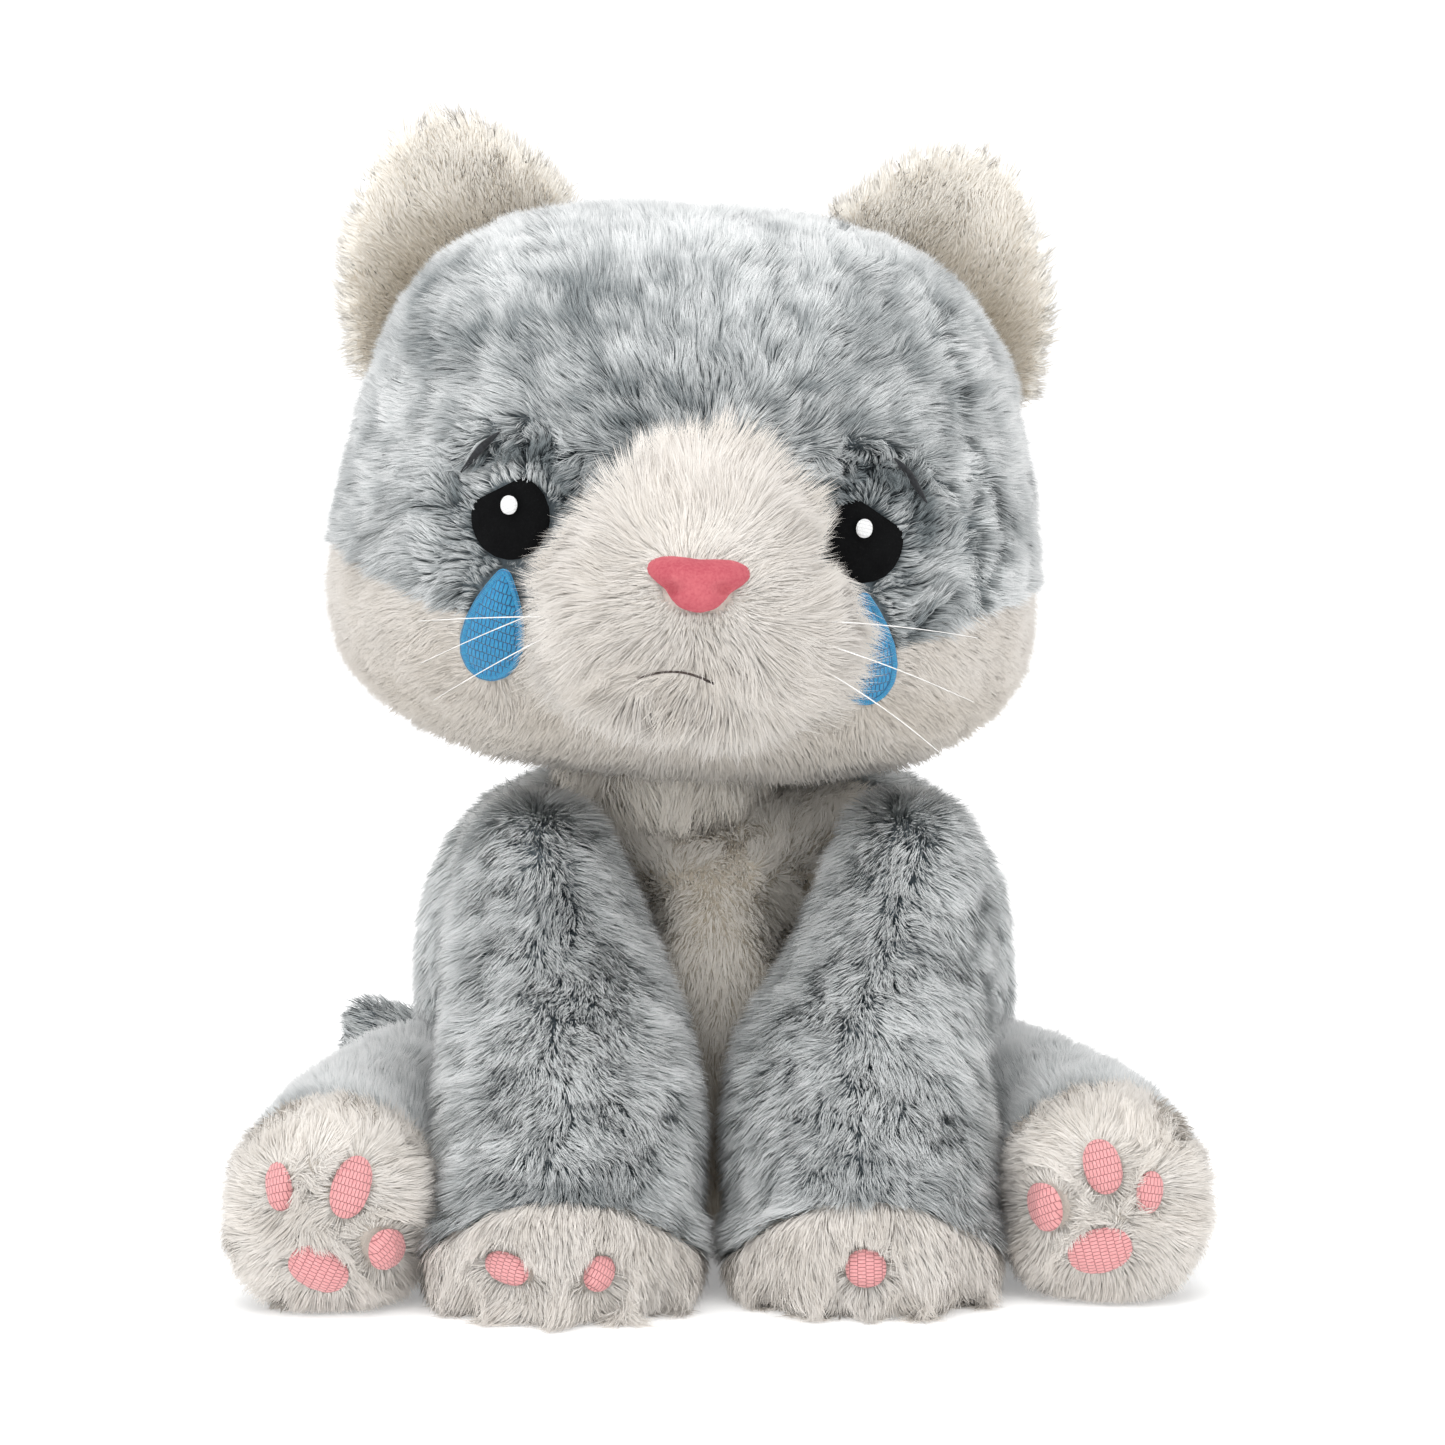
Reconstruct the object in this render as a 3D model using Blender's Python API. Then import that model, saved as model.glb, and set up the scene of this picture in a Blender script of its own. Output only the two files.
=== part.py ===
"""A sitting plush kitten with a long pile, cut, sewn and stuffed from separate pieces.

Metres, +Z up. The kitten faces -Y and sits on z = 0, so its own left side is at +X. Every cover is
an open shell of pile fabric around its own stuffing, and each limb ends in a ball of stuffing that
turns in a hollow of the piece that it is sewn to.
"""

import math
from functools import partial

import bmesh
import bpy
from mathutils import Matrix, Vector
from mathutils.bvhtree import BVHTree

# Fabric and gaps
FABRIC = 0.003  # cover thickness: backing and the dense root of its pile
FILL_GAP = 0.0015  # stuffing stays this far inside its cover
SEW_GAP = 0.0003  # between two pieces that are sewn edge to edge
LAY_GAP = 0.0013  # between an embroidered patch and the cover under it
TURN_GAP = 0.0015  # around the ball of stuffing in the neck
LIMB_CLEARANCE = 0.003  # between a limb or the tail and the hollow that it turns in

# Torso
TORSO_CENTRE = Vector((0.0, 0.022, 0.056))
TORSO_RADII = Vector((0.0765, 0.060, 0.066))
TORSO_SIDE_POWER = 3.15
BAG_CENTRE = Vector((0.0, 0.030, 0.020))
BAG_RADII = Vector((0.040, 0.032, 0.0155))
BAG_SPACE = 1.04  # how much larger its hollow in the stuffing is
CHEST_HALF_WIDTH = 0.034

# Neck and head: the head is modelled around the neck, then tilted and turned on it
NECK = Vector((-0.0118, 0.006, 0.126))
NECK_BALL = 0.026
HEAD_TILT = math.radians(3.8)
HEAD_TURN = math.radians(1.5)
HEAD_CENTRE = Vector((0.0, -0.018, 0.0715))
HEAD_RADII = Vector((0.0848, 0.073, 0.0705))
CHEEK_LINE = -0.0325  # height of the grey and white seam under the eyes, from the head's centre
CHEEK_AT = 0.048  # distance from the middle at which it has that height
CHEEK_SLOPE = 0.39

# Face, measured from the head's centre in its front view
MUZZLE_CENTRE = Vector((0.0022, -0.058, -0.0285))
MUZZLE_RADII = Vector((0.034, 0.040, 0.022))
BLAZE_RISE = 0.046
FACE_SHIFT = -0.0011  # the eyes and teardrops sit a little to the kitten's right
EYE_AT = (0.0435, -0.0060)
EYE_HALF = (0.0100, 0.0108)
EYE_CUT = 0.72  # share of the eye's half size at which its upper outer part is cut off
TEAR_AT = (0.0455, -0.0324)
TEAR_HALF = (0.0076, 0.0150)
NOSE_AT = (0.0016, -0.0170)
NOSE_HALF = (0.0128, 0.0078)
MOUTH_AT = (-0.0020, -0.0388)
MOUTH_HALF_WIDTH = 0.0095

# Ears, in the plane of each ear: across from its outer to its inner edge, and up
EAR_ROOT = Vector((0.0572, 0.020, 0.0500))
EAR_SHIFT = Vector((-0.0014, 0.0, 0.0))  # both ears sit a little to the kitten's right
EAR_LEAN = math.radians(36.0)
EAR_CUP = 9.0  # how far its edges curl forward, per metre across, squared
EAR_LAYER = 0.0050
EAR_CLEARANCE = 0.0032  # lets the ear fold a little on the head

# Limbs
SHOULDER = Vector((0.0415, -0.040, 0.0920))
HIP = Vector((0.0755, 0.003, 0.0265))
TAIL_ROOT = Vector((-0.020, 0.0835, 0.0250))
SHOULDER_HOLLOW = 0.0325  # clears the squared top of a front leg as it swings
HIP_HOLLOW = 0.0295
TAIL_HOLLOW = 0.0155
PAW_SEAM = Vector((0.0, -0.100, 0.0290))  # on the seam between a front leg and its white paw
PAW_SEAM_SLOPE = math.radians(14.0)  # the seam falls towards the heel
SHOULDER_LEAN = {1: 0.0045, -1: 0.0}  # how far each front leg's top leans out, left and right
PAW_REACH = {1: 0.0960, -1: 0.1040}  # how far forward the paws reach
SOLE_REACH = {1: 0.0900, -1: 0.1020}  # and the soles of the hind feet
SOLE_ASIDE = {1: 0.0975, -1: 0.0945}  # how far out they are
SOLE_DEPTH = 0.0250  # how much of each hind foot is white

CENTRE_SHIFT = Vector((-0.00158, 0.0057, 0.0))  # brings the middle of the whole toy over the origin
STITCH = 0.0008  # half the thickness of an embroidered line
WHISKER = 0.0003  # radius of a nylon whisker


def linear(hex_colour):
    """An sRGB hex colour as linear red, green and blue."""
    levels = [int(hex_colour[i : i + 2], 16) / 255 for i in (0, 2, 4)]
    return [level / 12.92 if level <= 0.04045 else ((level + 0.055) / 1.055) ** 2.4 for level in levels]


def finish(name, hex_colour, roughness):
    material = bpy.data.materials.new(name)
    material.use_nodes = True
    shader = material.node_tree.nodes["Principled BSDF"]
    shader.inputs["Base Color"].default_value = (*linear(hex_colour), 1.0)
    shader.inputs["Roughness"].default_value = roughness
    shader.inputs["Metallic"].default_value = 0.0
    return material


def new_object(name, data, material=None):
    thing = bpy.data.objects.new(name, data)
    bpy.context.scene.collection.objects.link(thing)
    if material:
        thing.data.materials.append(material)
    return thing


def mesh_of(bm, smooth=True):
    bmesh.ops.recalc_face_normals(bm, faces=bm.faces[:])
    mesh = bpy.data.meshes.new("shape")
    bm.to_mesh(mesh)
    bm.free()
    if smooth:
        mesh.shade_smooth()
        mesh.set_sharp_from_angle(angle=math.radians(40))
    return mesh


def cutter(name, bm, parent=None):
    """A helper solid that only cuts: it isn't part of the toy."""
    helper = new_object("cut_" + name, mesh_of(bm, smooth=False))
    helper.hide_render = True
    helper.display_type = "WIRE"
    helper.parent = parent
    return helper


def cut(thing, operation, *helpers):
    for helper in helpers:
        step = thing.modifiers.new(operation.lower(), "BOOLEAN")
        step.operation = operation
        step.solver = "EXACT"
        step.object = helper


def set_on_joint(thing, pivot):
    """Moves the object's origin to its joint, and leaves its shape where it is."""
    thing.data.transform(Matrix.Translation(-pivot))
    thing.location = pivot


# Basic shapes


def block(low, high):
    bm = bmesh.new()
    size = Vector(high) - Vector(low)
    middle = (Vector(high) + Vector(low)) / 2
    bmesh.ops.create_cube(bm, size=1.0, matrix=Matrix.Translation(middle) @ Matrix.Diagonal((*size, 1.0)))
    return bm


def ball(centre, radius, detail=3):
    bm = bmesh.new()
    bmesh.ops.create_icosphere(bm, subdivisions=detail, radius=radius, matrix=Matrix.Translation(centre))
    return bm


def soft_ball(centre, radii, side_power, depth_power, bend=None, detail=3, floor=None):
    """A rounded box: side_power squares its front outline, depth_power its section front to back."""
    bm = bmesh.new()
    bmesh.ops.create_icosphere(bm, subdivisions=detail, radius=1.0)
    for vert in bm.verts:
        x, y, z = vert.co
        outline = (abs(x) ** side_power + abs(z) ** side_power) ** (depth_power / side_power)
        reach = (outline + abs(y) ** depth_power) ** (-1 / depth_power)
        unit = Vector((x, y, z)) * reach
        if bend:
            unit = bend(unit)
        vert.co = centre + Vector((unit.x * radii.x, unit.y * radii.y, unit.z * radii.z))
        if floor is not None:
            vert.co.z = max(vert.co.z, floor)
    return bm


def smooth_between(values, t):
    """A smooth curve through evenly spaced values, read at t from 0 to 1."""
    last = len(values) - 1
    at = min(int(t * last), last - 1)
    part = t * last - at
    before, start, end, after = (values[min(max(at + i, 0), last)] for i in (-1, 0, 1, 2))
    slope_in = (end - before) / 2
    slope_out = (after - start) / 2
    rise = part * part * (3 - 2 * part)
    return (
        start * (1 - rise)
        + end * rise
        + slope_in * (part * (1 - part) ** 2)
        - slope_out * (part * part * (1 - part))
    )


def limb(stations, across, up, grow, coarse, powers, toes=0, toe_depth=0.0, floor=None):
    """A stuffed tube with round ends. Each station is (middle, half width, half height), ring by
    ring, with the rings spanned by across and up. powers squares its two ends, and toes are lobes
    around its last third."""
    rings, sides = (9, 12) if coarse else (16, 20)
    middles = [Vector(station[0]) for station in stations]
    widths = [station[1] + grow for station in stations]
    heights = [station[2] + grow for station in stations]
    start = middles[0] + (middles[0] - middles[1]).normalized() * grow
    end = middles[-1] + (middles[-1] - middles[-2]).normalized() * grow
    middles = [start, *middles[1:-1], end]
    bm = bmesh.new()
    loops = []
    for ring in range(1, rings):
        turn = math.pi * ring / rings
        t = (1 - math.cos(turn)) / 2
        power = powers[0] if t < 0.5 else powers[1]
        swell = (1 - abs(math.cos(turn)) ** power) ** (1 / power)
        middle = smooth_between(middles, t)
        half_width = smooth_between(widths, t) * swell
        half_height = smooth_between(heights, t) * swell
        near_toes = max(0.0, t - 0.66) / 0.34
        loop = []
        for side in range(sides):
            angle = math.tau * side / sides
            lobe = 1 - toe_depth * near_toes * (0.5 + 0.5 * math.cos(toes * angle)) if toes else 1.0
            spot = middle + across * (half_width * math.cos(angle) * lobe)
            spot += up * (half_height * math.sin(angle) * lobe)
            loop.append(bm.verts.new(spot))
        loops.append(loop)
    first = bm.verts.new(middles[0])
    last = bm.verts.new(middles[-1])
    for one, two in zip(loops, loops[1:]):
        for i in range(sides):
            j = (i + 1) % sides
            bm.faces.new((one[i], one[j], two[j], two[i]))
    for i in range(sides):
        j = (i + 1) % sides
        bm.faces.new((first, loops[0][j], loops[0][i]))
        bm.faces.new((last, loops[-1][i], loops[-1][j]))
    if floor is not None:
        for vert in bm.verts:
            vert.co.z = max(vert.co.z, floor)
    return bm


def tree_of(bm):
    """What a patch is laid on: a copy of the surface that rays can find."""
    return BVHTree.FromBMesh(bm)


def front_of(tree, x, z):
    """The frontmost point of the surface at this place in the front view."""
    hit = tree.ray_cast(Vector((x, -1.0, z)), Vector((0, 1, 0)))[0]
    return hit if hit else Vector((x, tree.find_nearest(Vector((x, -0.2, z)))[0].y, z))


def patch(tree, outline, thickness, rings=3):
    """A padded patch that follows the surface under it, from the points of its outline."""
    middle = sum(outline, Vector((0, 0))) / len(outline)
    count = len(outline)
    bm = bmesh.new()

    def layer(share, height):
        loop = []
        for point in outline:
            place = middle + (point - middle) * share
            loop.append(bm.verts.new(front_of(tree, place.x, place.y) - Vector((0, height, 0))))
        return loop

    under = [layer(ring / rings, LAY_GAP) for ring in range(1, rings + 1)]
    over = []
    for ring in range(1, rings + 1):
        share = ring / rings
        crown = 0.45 + 0.55 * math.sqrt(1 - share**3)
        over.append(layer(share, LAY_GAP + thickness * crown))
    low = bm.verts.new(front_of(tree, *middle) - Vector((0, LAY_GAP, 0)))
    high = bm.verts.new(front_of(tree, *middle) - Vector((0, LAY_GAP + thickness, 0)))
    loops = [*under, *reversed(over)]
    for one, two in zip(loops, loops[1:]):
        for i in range(count):
            j = (i + 1) % count
            bm.faces.new((one[i], one[j], two[j], two[i]))
    for i in range(count):
        j = (i + 1) % count
        bm.faces.new((low, under[0][j], under[0][i]))
        bm.faces.new((high, over[0][i], over[0][j]))
    return bm


def line(name, points, radius, material, parent=None):
    """A thread or a whisker: a thin tube through the points, with closed ends."""
    curve = bpy.data.curves.new(name, "CURVE")
    curve.dimensions = "3D"
    curve.bevel_depth = radius
    curve.bevel_resolution = 0
    curve.use_fill_caps = True
    spline = curve.splines.new("POLY")
    spline.points.add(len(points) - 1)
    for slot, point in zip(spline.points, points):
        slot.co = (*point, 1.0)
    thread = new_object(name, curve, material)
    thread.parent = parent
    return thread


def oval(middle, half, tilt=0.0, count=14, power=2.3):
    """An outline in the front view: an oval, or a softly squared one at a higher power."""
    points = []
    for i in range(count):
        angle = math.tau * i / count
        reach = (abs(math.cos(angle)) ** power + abs(math.sin(angle)) ** power) ** (-1 / power)
        point = Vector((half[0] * reach * math.cos(angle), half[1] * reach * math.sin(angle)))
        point.rotate(Matrix.Rotation(tilt, 2))
        points.append(point + Vector(middle))
    return points


# The stuffed masses that the covers and their fillings are cut from


def torso_mass(grow, detail=4):
    radii = TORSO_RADII + Vector((grow, grow, grow))
    return soft_ball(TORSO_CENTRE, radii, TORSO_SIDE_POWER, 2.4, detail=detail, floor=-grow)


def plump_cheeks(unit):
    """Low on the head the cheeks stand out, and the crown is a little narrower."""
    low = math.exp(-(((unit.z + 0.75) / 0.5) ** 2))
    crown = min(1.0, max(0.0, unit.z) / 0.35)
    return Vector((unit.x * (1 + 0.125 * low - 0.045 * crown), unit.y * (1 + 0.04 * low), unit.z))


def head_mass(grow, detail=4):
    radii = HEAD_RADII + Vector((grow, grow, grow))
    return soft_ball(HEAD_CENTRE, radii, 2.9, 2.3, plump_cheeks, detail)


def muzzle_bend(unit):
    """Above the nose the muzzle narrows and sinks back into the blaze between the eyes."""
    if unit.z <= 0:
        return unit
    lift = unit.z * BLAZE_RISE / MUZZLE_RADII.z
    return Vector((unit.x * (1 - 0.50 * unit.z), unit.y * (1 - 0.42 * unit.z**2), lift))


def muzzle_mass(grow, detail=3):
    radii = MUZZLE_RADII + Vector((grow, grow, grow))
    return soft_ball(HEAD_CENTRE + MUZZLE_CENTRE, radii, 2.3, 2.2, muzzle_bend, detail)


def mirrored(point, side):
    return Vector((point[0] * side, point[1], point[2]))


def front_leg_mass(side, grow, coarse=False):
    """The kitten's right paw rests a little further forward than its left."""
    reach = PAW_REACH[side]
    lean = SHOULDER_LEAN[side]
    stations = (
        (mirrored((0.0455 + lean, -0.0370, 0.1185), side), 0.0172, 0.0240),
        (mirrored((0.0425 + lean, -0.0430, 0.0870), side), 0.0226 - 0.3 * lean, 0.0262),
        (mirrored((0.0368, -0.55 * reach - 0.0040, 0.0560), side), 0.0290, 0.0285),
        (mirrored((0.0372, -0.80 * reach + 0.0090, 0.0260), side), 0.0312, 0.0325),
        (mirrored((0.0376, -reach + 0.0240, -0.0070), side), 0.0325, 0.0375),
    )
    floor = None if grow > 0 else -grow
    return limb(stations, Vector((1, 0, 0)), Vector((0, 1, 0)), grow, coarse, (3.2, 4.5), 8, 0.05, floor)


def hind_leg_mass(side, grow, coarse=False):
    """A thigh that lies on the floor and ends in an upright sole."""
    reach = SOLE_REACH[side]
    aside = SOLE_ASIDE[side]
    stations = (
        (mirrored((0.0745, 0.0280, 0.0260), side), 0.0240, 0.0255),
        (mirrored((0.0795, -0.0090, 0.0262), side), 0.0250, 0.0262),
        (mirrored((aside - 0.0025, -0.48 * reach - 0.0040, 0.0245), side), 0.0222, 0.0248),
        (mirrored((aside, -reach, 0.0235), side), 0.0240, 0.0238),
    )
    floor = None if grow > 0 else -grow
    return limb(stations, Vector((1, 0, 0)), Vector((0, 0, 1)), grow, coarse, (3.2, 5.0), 6, 0.04, floor)


def tail_mass(grow, coarse=False):
    stations = (
        ((-0.0080, 0.0830, 0.0250), 0.0120, 0.0120),
        ((-0.0420, 0.0900, 0.0230), 0.0125, 0.0125),
        ((-0.0780, 0.0890, 0.0280), 0.0120, 0.0120),
        ((-0.1040, 0.0830, 0.0420), 0.0105, 0.0105),
    )
    return limb(stations, Vector((0, 1, 0)), Vector((0, 0, 1)), grow, coarse, (3.0, 3.0))


# Clearances that the torso is hollowed by where a limb, the head or the tail is sewn on


def make_clearances():
    clearances = [cutter("neck_hollow", ball(NECK, NECK_BALL + TURN_GAP))]
    for side, hand in ((1, "left"), (-1, "right")):
        shoulder = mirrored(SHOULDER, side)
        hip = mirrored(HIP, side)
        clearances.append(cutter("shoulder_" + hand, ball(shoulder, SHOULDER_HOLLOW)))
        clearances.append(cutter("hip_" + hand, ball(hip, HIP_HOLLOW)))
        clearances.append(cutter("front_leg_" + hand, front_leg_mass(side, LIMB_CLEARANCE, True)))
        clearances.append(cutter("hind_leg_" + hand, hind_leg_mass(side, LIMB_CLEARANCE, True)))
    clearances.append(cutter("tail_hollow", ball(TAIL_ROOT, TAIL_HOLLOW)))
    clearances.append(cutter("tail_path", tail_mass(LIMB_CLEARANCE, True)))
    return clearances


# Pieces


def make_torso(colours, clearances):
    inside = cutter("torso_inside", torso_mass(-FABRIC, 3))
    width = CHEST_HALF_WIDTH
    chest_window = cutter("chest_window", block((-width, -0.1, -0.1), (width, TORSO_CENTRE.y - 0.02, 0.2)))
    narrow = width - SEW_GAP
    back = TORSO_CENTRE.y - 0.02 - SEW_GAP
    chest_shape = cutter("chest_shape", block((-narrow, -0.1, -0.1), (narrow, back, 0.2)))

    cover = new_object("body_cover", mesh_of(torso_mass(0.0)), colours["grey_pile"])
    cut(cover, "DIFFERENCE", inside, chest_window, *clearances)

    chest = new_object("chest_panel", mesh_of(torso_mass(0.0)), colours["cream_pile"])
    cut(chest, "DIFFERENCE", inside)
    cut(chest, "INTERSECT", chest_shape)
    cut(chest, "DIFFERENCE", *clearances)

    bag_floor = FABRIC + FILL_GAP
    bag_space = cutter("bag_space", soft_ball(BAG_CENTRE, BAG_RADII * BAG_SPACE, 2.6, 2.6, detail=2, floor=0.0))
    stuffing = new_object("body_stuffing", mesh_of(torso_mass(-FABRIC - FILL_GAP, 3)), colours["fibre"])
    under_low = Vector((BAG_CENTRE.x - 0.7 * BAG_RADII.x, BAG_CENTRE.y - 0.7 * BAG_RADII.y, -0.01))
    under_high = Vector((BAG_CENTRE.x + 0.7 * BAG_RADII.x, BAG_CENTRE.y + 0.7 * BAG_RADII.y, BAG_CENTRE.z - 0.002))
    under_bag = cutter("under_bag", block(under_low, under_high))
    cut(stuffing, "DIFFERENCE", bag_space, under_bag, *clearances)
    bag = soft_ball(BAG_CENTRE, BAG_RADII, 2.6, 2.6, detail=2, floor=bag_floor)
    new_object("seat_bean_bag", mesh_of(bag), colours["calico"])


def make_neck(colours):
    wad = new_object("neck_stuffing", mesh_of(ball(NECK, NECK_BALL, 2)), colours["fibre"])
    set_on_joint(wad, NECK)


def cheek_wedge(lower):
    """Everything under the grey and white seam, which rises from the muzzle to each side."""
    reach = 0.15
    low_z = HEAD_CENTRE.z + CHEEK_LINE - CHEEK_SLOPE * CHEEK_AT - lower
    side_z = low_z + CHEEK_SLOPE * reach
    corners = ((-reach, side_z), (0.0, low_z), (reach, side_z), (reach, -reach), (-reach, -reach))
    bm = bmesh.new()
    face = bm.faces.new([bm.verts.new((x, -reach, z)) for x, z in corners])
    swept = bmesh.ops.extrude_face_region(bm, geom=[face])
    moved = [item for item in swept["geom"] if isinstance(item, bmesh.types.BMVert)]
    bmesh.ops.translate(bm, verts=moved, vec=(0, 2 * reach, 0))
    return bm


def make_head(colours, pose):
    inside = cutter("head_inside", head_mass(-FABRIC, 3), pose)
    hollow = cutter("head_hollow", ball(Vector((0, 0, 0)), NECK_BALL + TURN_GAP), pose)

    top = new_object("head_top_cover", mesh_of(head_mass(0.0)), colours["grey_pile"])
    top.parent = pose
    cut(top, "DIFFERENCE", inside, cutter("cheek_part", cheek_wedge(0.0), pose))

    lower = new_object("head_lower_cover", mesh_of(head_mass(0.0)), colours["white_pile"])
    lower.parent = pose
    cut(lower, "DIFFERENCE", inside, hollow)
    cut(lower, "INTERSECT", cutter("cheek_shape", cheek_wedge(SEW_GAP), pose))

    fill = new_object("head_stuffing", mesh_of(head_mass(-FABRIC - FILL_GAP, 3)), colours["fibre"])
    fill.parent = pose
    cut(fill, "DIFFERENCE", hollow)


def make_muzzle(colours, pose):
    behind = cutter("face_behind_muzzle", head_mass(SEW_GAP * 3), pose)
    inside = cutter("muzzle_inside", muzzle_mass(-FABRIC, 2), pose)
    cover = new_object("muzzle_cover", mesh_of(muzzle_mass(0.0)), colours["white_pile"])
    cover.parent = pose
    cut(cover, "DIFFERENCE", inside, behind)

    fill = new_object("muzzle_stuffing", mesh_of(muzzle_mass(-FABRIC - FILL_GAP, 2)), colours["fibre"])
    fill.parent = pose
    cut(fill, "DIFFERENCE", behind)


def from_centre(place, side=1):
    """A place in the head's front view, on the kitten's left (side 1) or right (side -1)."""
    return Vector((HEAD_CENTRE.x + side * place[0], HEAD_CENTRE.z + place[1]))


def beside_middle(place, side):
    """The same for the eyes and teardrops, which share a small shift."""
    return from_centre(place, side) + Vector((FACE_SHIFT, 0))


def eye_outline(side):
    """A round eye whose upper outer part is cut off in a straight slant, which makes it sad."""
    points = []
    middle = beside_middle(EYE_AT, side)
    slant = math.radians(61)
    for i in range(20):
        angle = math.tau * i / 20
        reach = min(1.0, EYE_CUT / max(0.01, math.cos(angle - slant)))
        point = Vector((side * EYE_HALF[0] * reach * math.cos(angle), EYE_HALF[1] * reach * math.sin(angle)))
        points.append(middle + point)
    return points


def tear_outline(side):
    """A drop: a point at the top, a round belly at the bottom."""
    points = []
    middle = beside_middle(TEAR_AT, side)
    for i in range(18):
        angle = math.tau * (i + 0.5) / 18
        width = TEAR_HALF[0] * math.sin(angle) * math.sin(angle / 2) * 1.3
        point = Vector((width, TEAR_HALF[1] * math.cos(angle)))
        point.rotate(Matrix.Rotation(side * math.radians(7), 2))
        points.append(middle + point)
    return points


def nose_outline():
    """A rounded triangle, point down."""
    points = []
    middle = from_centre(NOSE_AT)
    for i in range(18):
        angle = math.tau * i / 18 + math.pi / 2
        reach = 0.82 + 0.18 * math.sin(3 * angle)
        across = 1.1 * NOSE_HALF[0] * reach * math.cos(angle)
        points.append(middle + Vector((across, NOSE_HALF[1] * reach * math.sin(angle))))
    return points


def make_face(colours, pose):
    face_tree = tree_of(head_mass(0.0))
    muzzle_tree = tree_of(muzzle_mass(0.0))
    for side, hand in ((1, "left"), (-1, "right")):
        eye_bm = patch(face_tree, eye_outline(side), 0.0014)
        eye_tree = tree_of(eye_bm)
        eye = new_object("eye_" + hand, mesh_of(eye_bm), colours["black_felt"])
        glint_at = beside_middle((EYE_AT[0] - side * 0.0005, EYE_AT[1] + 0.0030), side)
        glint = new_object("eye_glint_" + hand, mesh_of(patch(eye_tree, oval(glint_at, (0.0021, 0.0024)), 0.0007, 1)))
        glint.data.materials.append(colours["white_thread"])
        tear = new_object("teardrop_" + hand, mesh_of(patch(face_tree, tear_outline(side), 0.0016)))
        tear.data.materials.append(colours["blue_thread"])
        for piece in (eye, glint, tear):
            piece.parent = pose

        brow = []
        for i in range(7):
            t = i / 6
            place = from_centre((0.0480 + 0.0095 * t, 0.0145 - 0.0110 * t**1.4), side)
            brow.append(front_of(face_tree, *place) - Vector((0, LAY_GAP + STITCH, 0)))
        line("brow_stitch_" + hand, brow, STITCH, colours["black_thread"], pose)

    nose = new_object("nose", mesh_of(patch(muzzle_tree, nose_outline(), 0.0048)), colours["pink_felt"])
    nose.parent = pose

    mouth = []
    for i in range(9):
        t = i / 4 - 1
        place = from_centre((MOUTH_AT[0] + MOUTH_HALF_WIDTH * t, MOUTH_AT[1] - 0.0028 * t * t))
        mouth.append(front_of(muzzle_tree, *place) - Vector((0, LAY_GAP + STITCH, 0)))
    line("mouth_stitch", mouth, STITCH, colours["black_thread"], pose)
    make_whiskers(muzzle_tree, colours, pose)


def make_whiskers(muzzle_tree, colours, pose):
    """Three nylon bristles a side. Each leaves the muzzle sideways and bows down to its tip."""
    ways = {
        "left": ((0.0030, 0.044, -0.0020, 0.004), (-0.0010, 0.044, -0.0140, 0.004), (-0.0060, 0.045, -0.0290, 0.009)),
        "right": ((0.0000, 0.038, -0.0040, 0.002), (0.0040, 0.037, -0.0190, 0.003), (-0.0020, 0.033, -0.0215, 0.003)),
    }
    for hand, side in (("left", 1), ("right", -1)):
        for number, (rise, reach, drop, bow) in enumerate(ways[hand], start=1):
            root = from_centre((0.0270, MUZZLE_CENTRE.z + rise), side)
            start = front_of(muzzle_tree, *root) + Vector((side * 0.0012, -0.0012, 0))
            points = []
            for i in range(7):
                t = i / 6
                sag = drop * t + bow * (t - t * t)
                points.append(start + Vector((side * reach * t, 0.010 * t * t - 0.004 * t, sag)))
            line(f"whisker_{hand}_{number}", points, WHISKER, colours["nylon"], pose)


def ear_outline():
    """A rounded triangle with its tip towards the crown, in the plane of the ear."""
    corners = (
        (-0.0365, -0.0120),
        (-0.0372, 0.0050),
        (-0.0275, 0.0250),
        (-0.0075, 0.0415),
        (0.0105, 0.0462),
        (0.0240, 0.0370),
        (0.0320, 0.0170),
        (0.0360, -0.0060),
        (0.0180, -0.0160),
        (-0.0180, -0.0180),
    )
    points = []
    count = len(corners)
    for i in range(count * 2):
        at = i // 2
        run = [Vector(corners[(at + k) % count]) for k in (-1, 0, 1, 2)]
        if i % 2 == 0:
            points.append(run[1])
        else:
            points.append((run[1] + run[2]) * 0.5625 - (run[0] + run[3]) * 0.0625)
    return points


def ear_layer(side, set_back):
    """One of the ear's two cupped layers, padded and closed around its edge."""
    lean = Matrix.Rotation(side * EAR_LEAN, 3, "Y")
    outline = ear_outline()
    middle = Vector((0.002, 0.012))
    rings = 4
    bm = bmesh.new()

    def spot(point, half, face):
        across = point.x
        cup = -EAR_CUP * across * across
        local = Vector((-side * across, cup + set_back + face * half, point.y))
        return HEAD_CENTRE + EAR_SHIFT + mirrored(EAR_ROOT, side) + lean @ local

    loops = []
    for face in (-1, 1):
        for ring in range(1, rings):
            share = ring / rings
            half = EAR_LAYER / 2 * math.sqrt(1 - share**4)
            loops.append([bm.verts.new(spot(middle + (p - middle) * share, half, face)) for p in outline])
        if face < 0:
            loops.append([bm.verts.new(spot(p, 0.0, face)) for p in outline])
    loops[rings:] = reversed(loops[rings:])
    count = len(outline)
    for one, two in zip(loops, loops[1:]):
        for i in range(count):
            j = (i + 1) % count
            bm.faces.new((one[i], one[j], two[j], two[i]))
    front = bm.verts.new(spot(middle, EAR_LAYER / 2, -1))
    back = bm.verts.new(spot(middle, EAR_LAYER / 2, 1))
    for i in range(count):
        j = (i + 1) % count
        bm.faces.new((front, loops[0][j], loops[0][i]))
        bm.faces.new((back, loops[-1][i], loops[-1][j]))
    return bm


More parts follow.
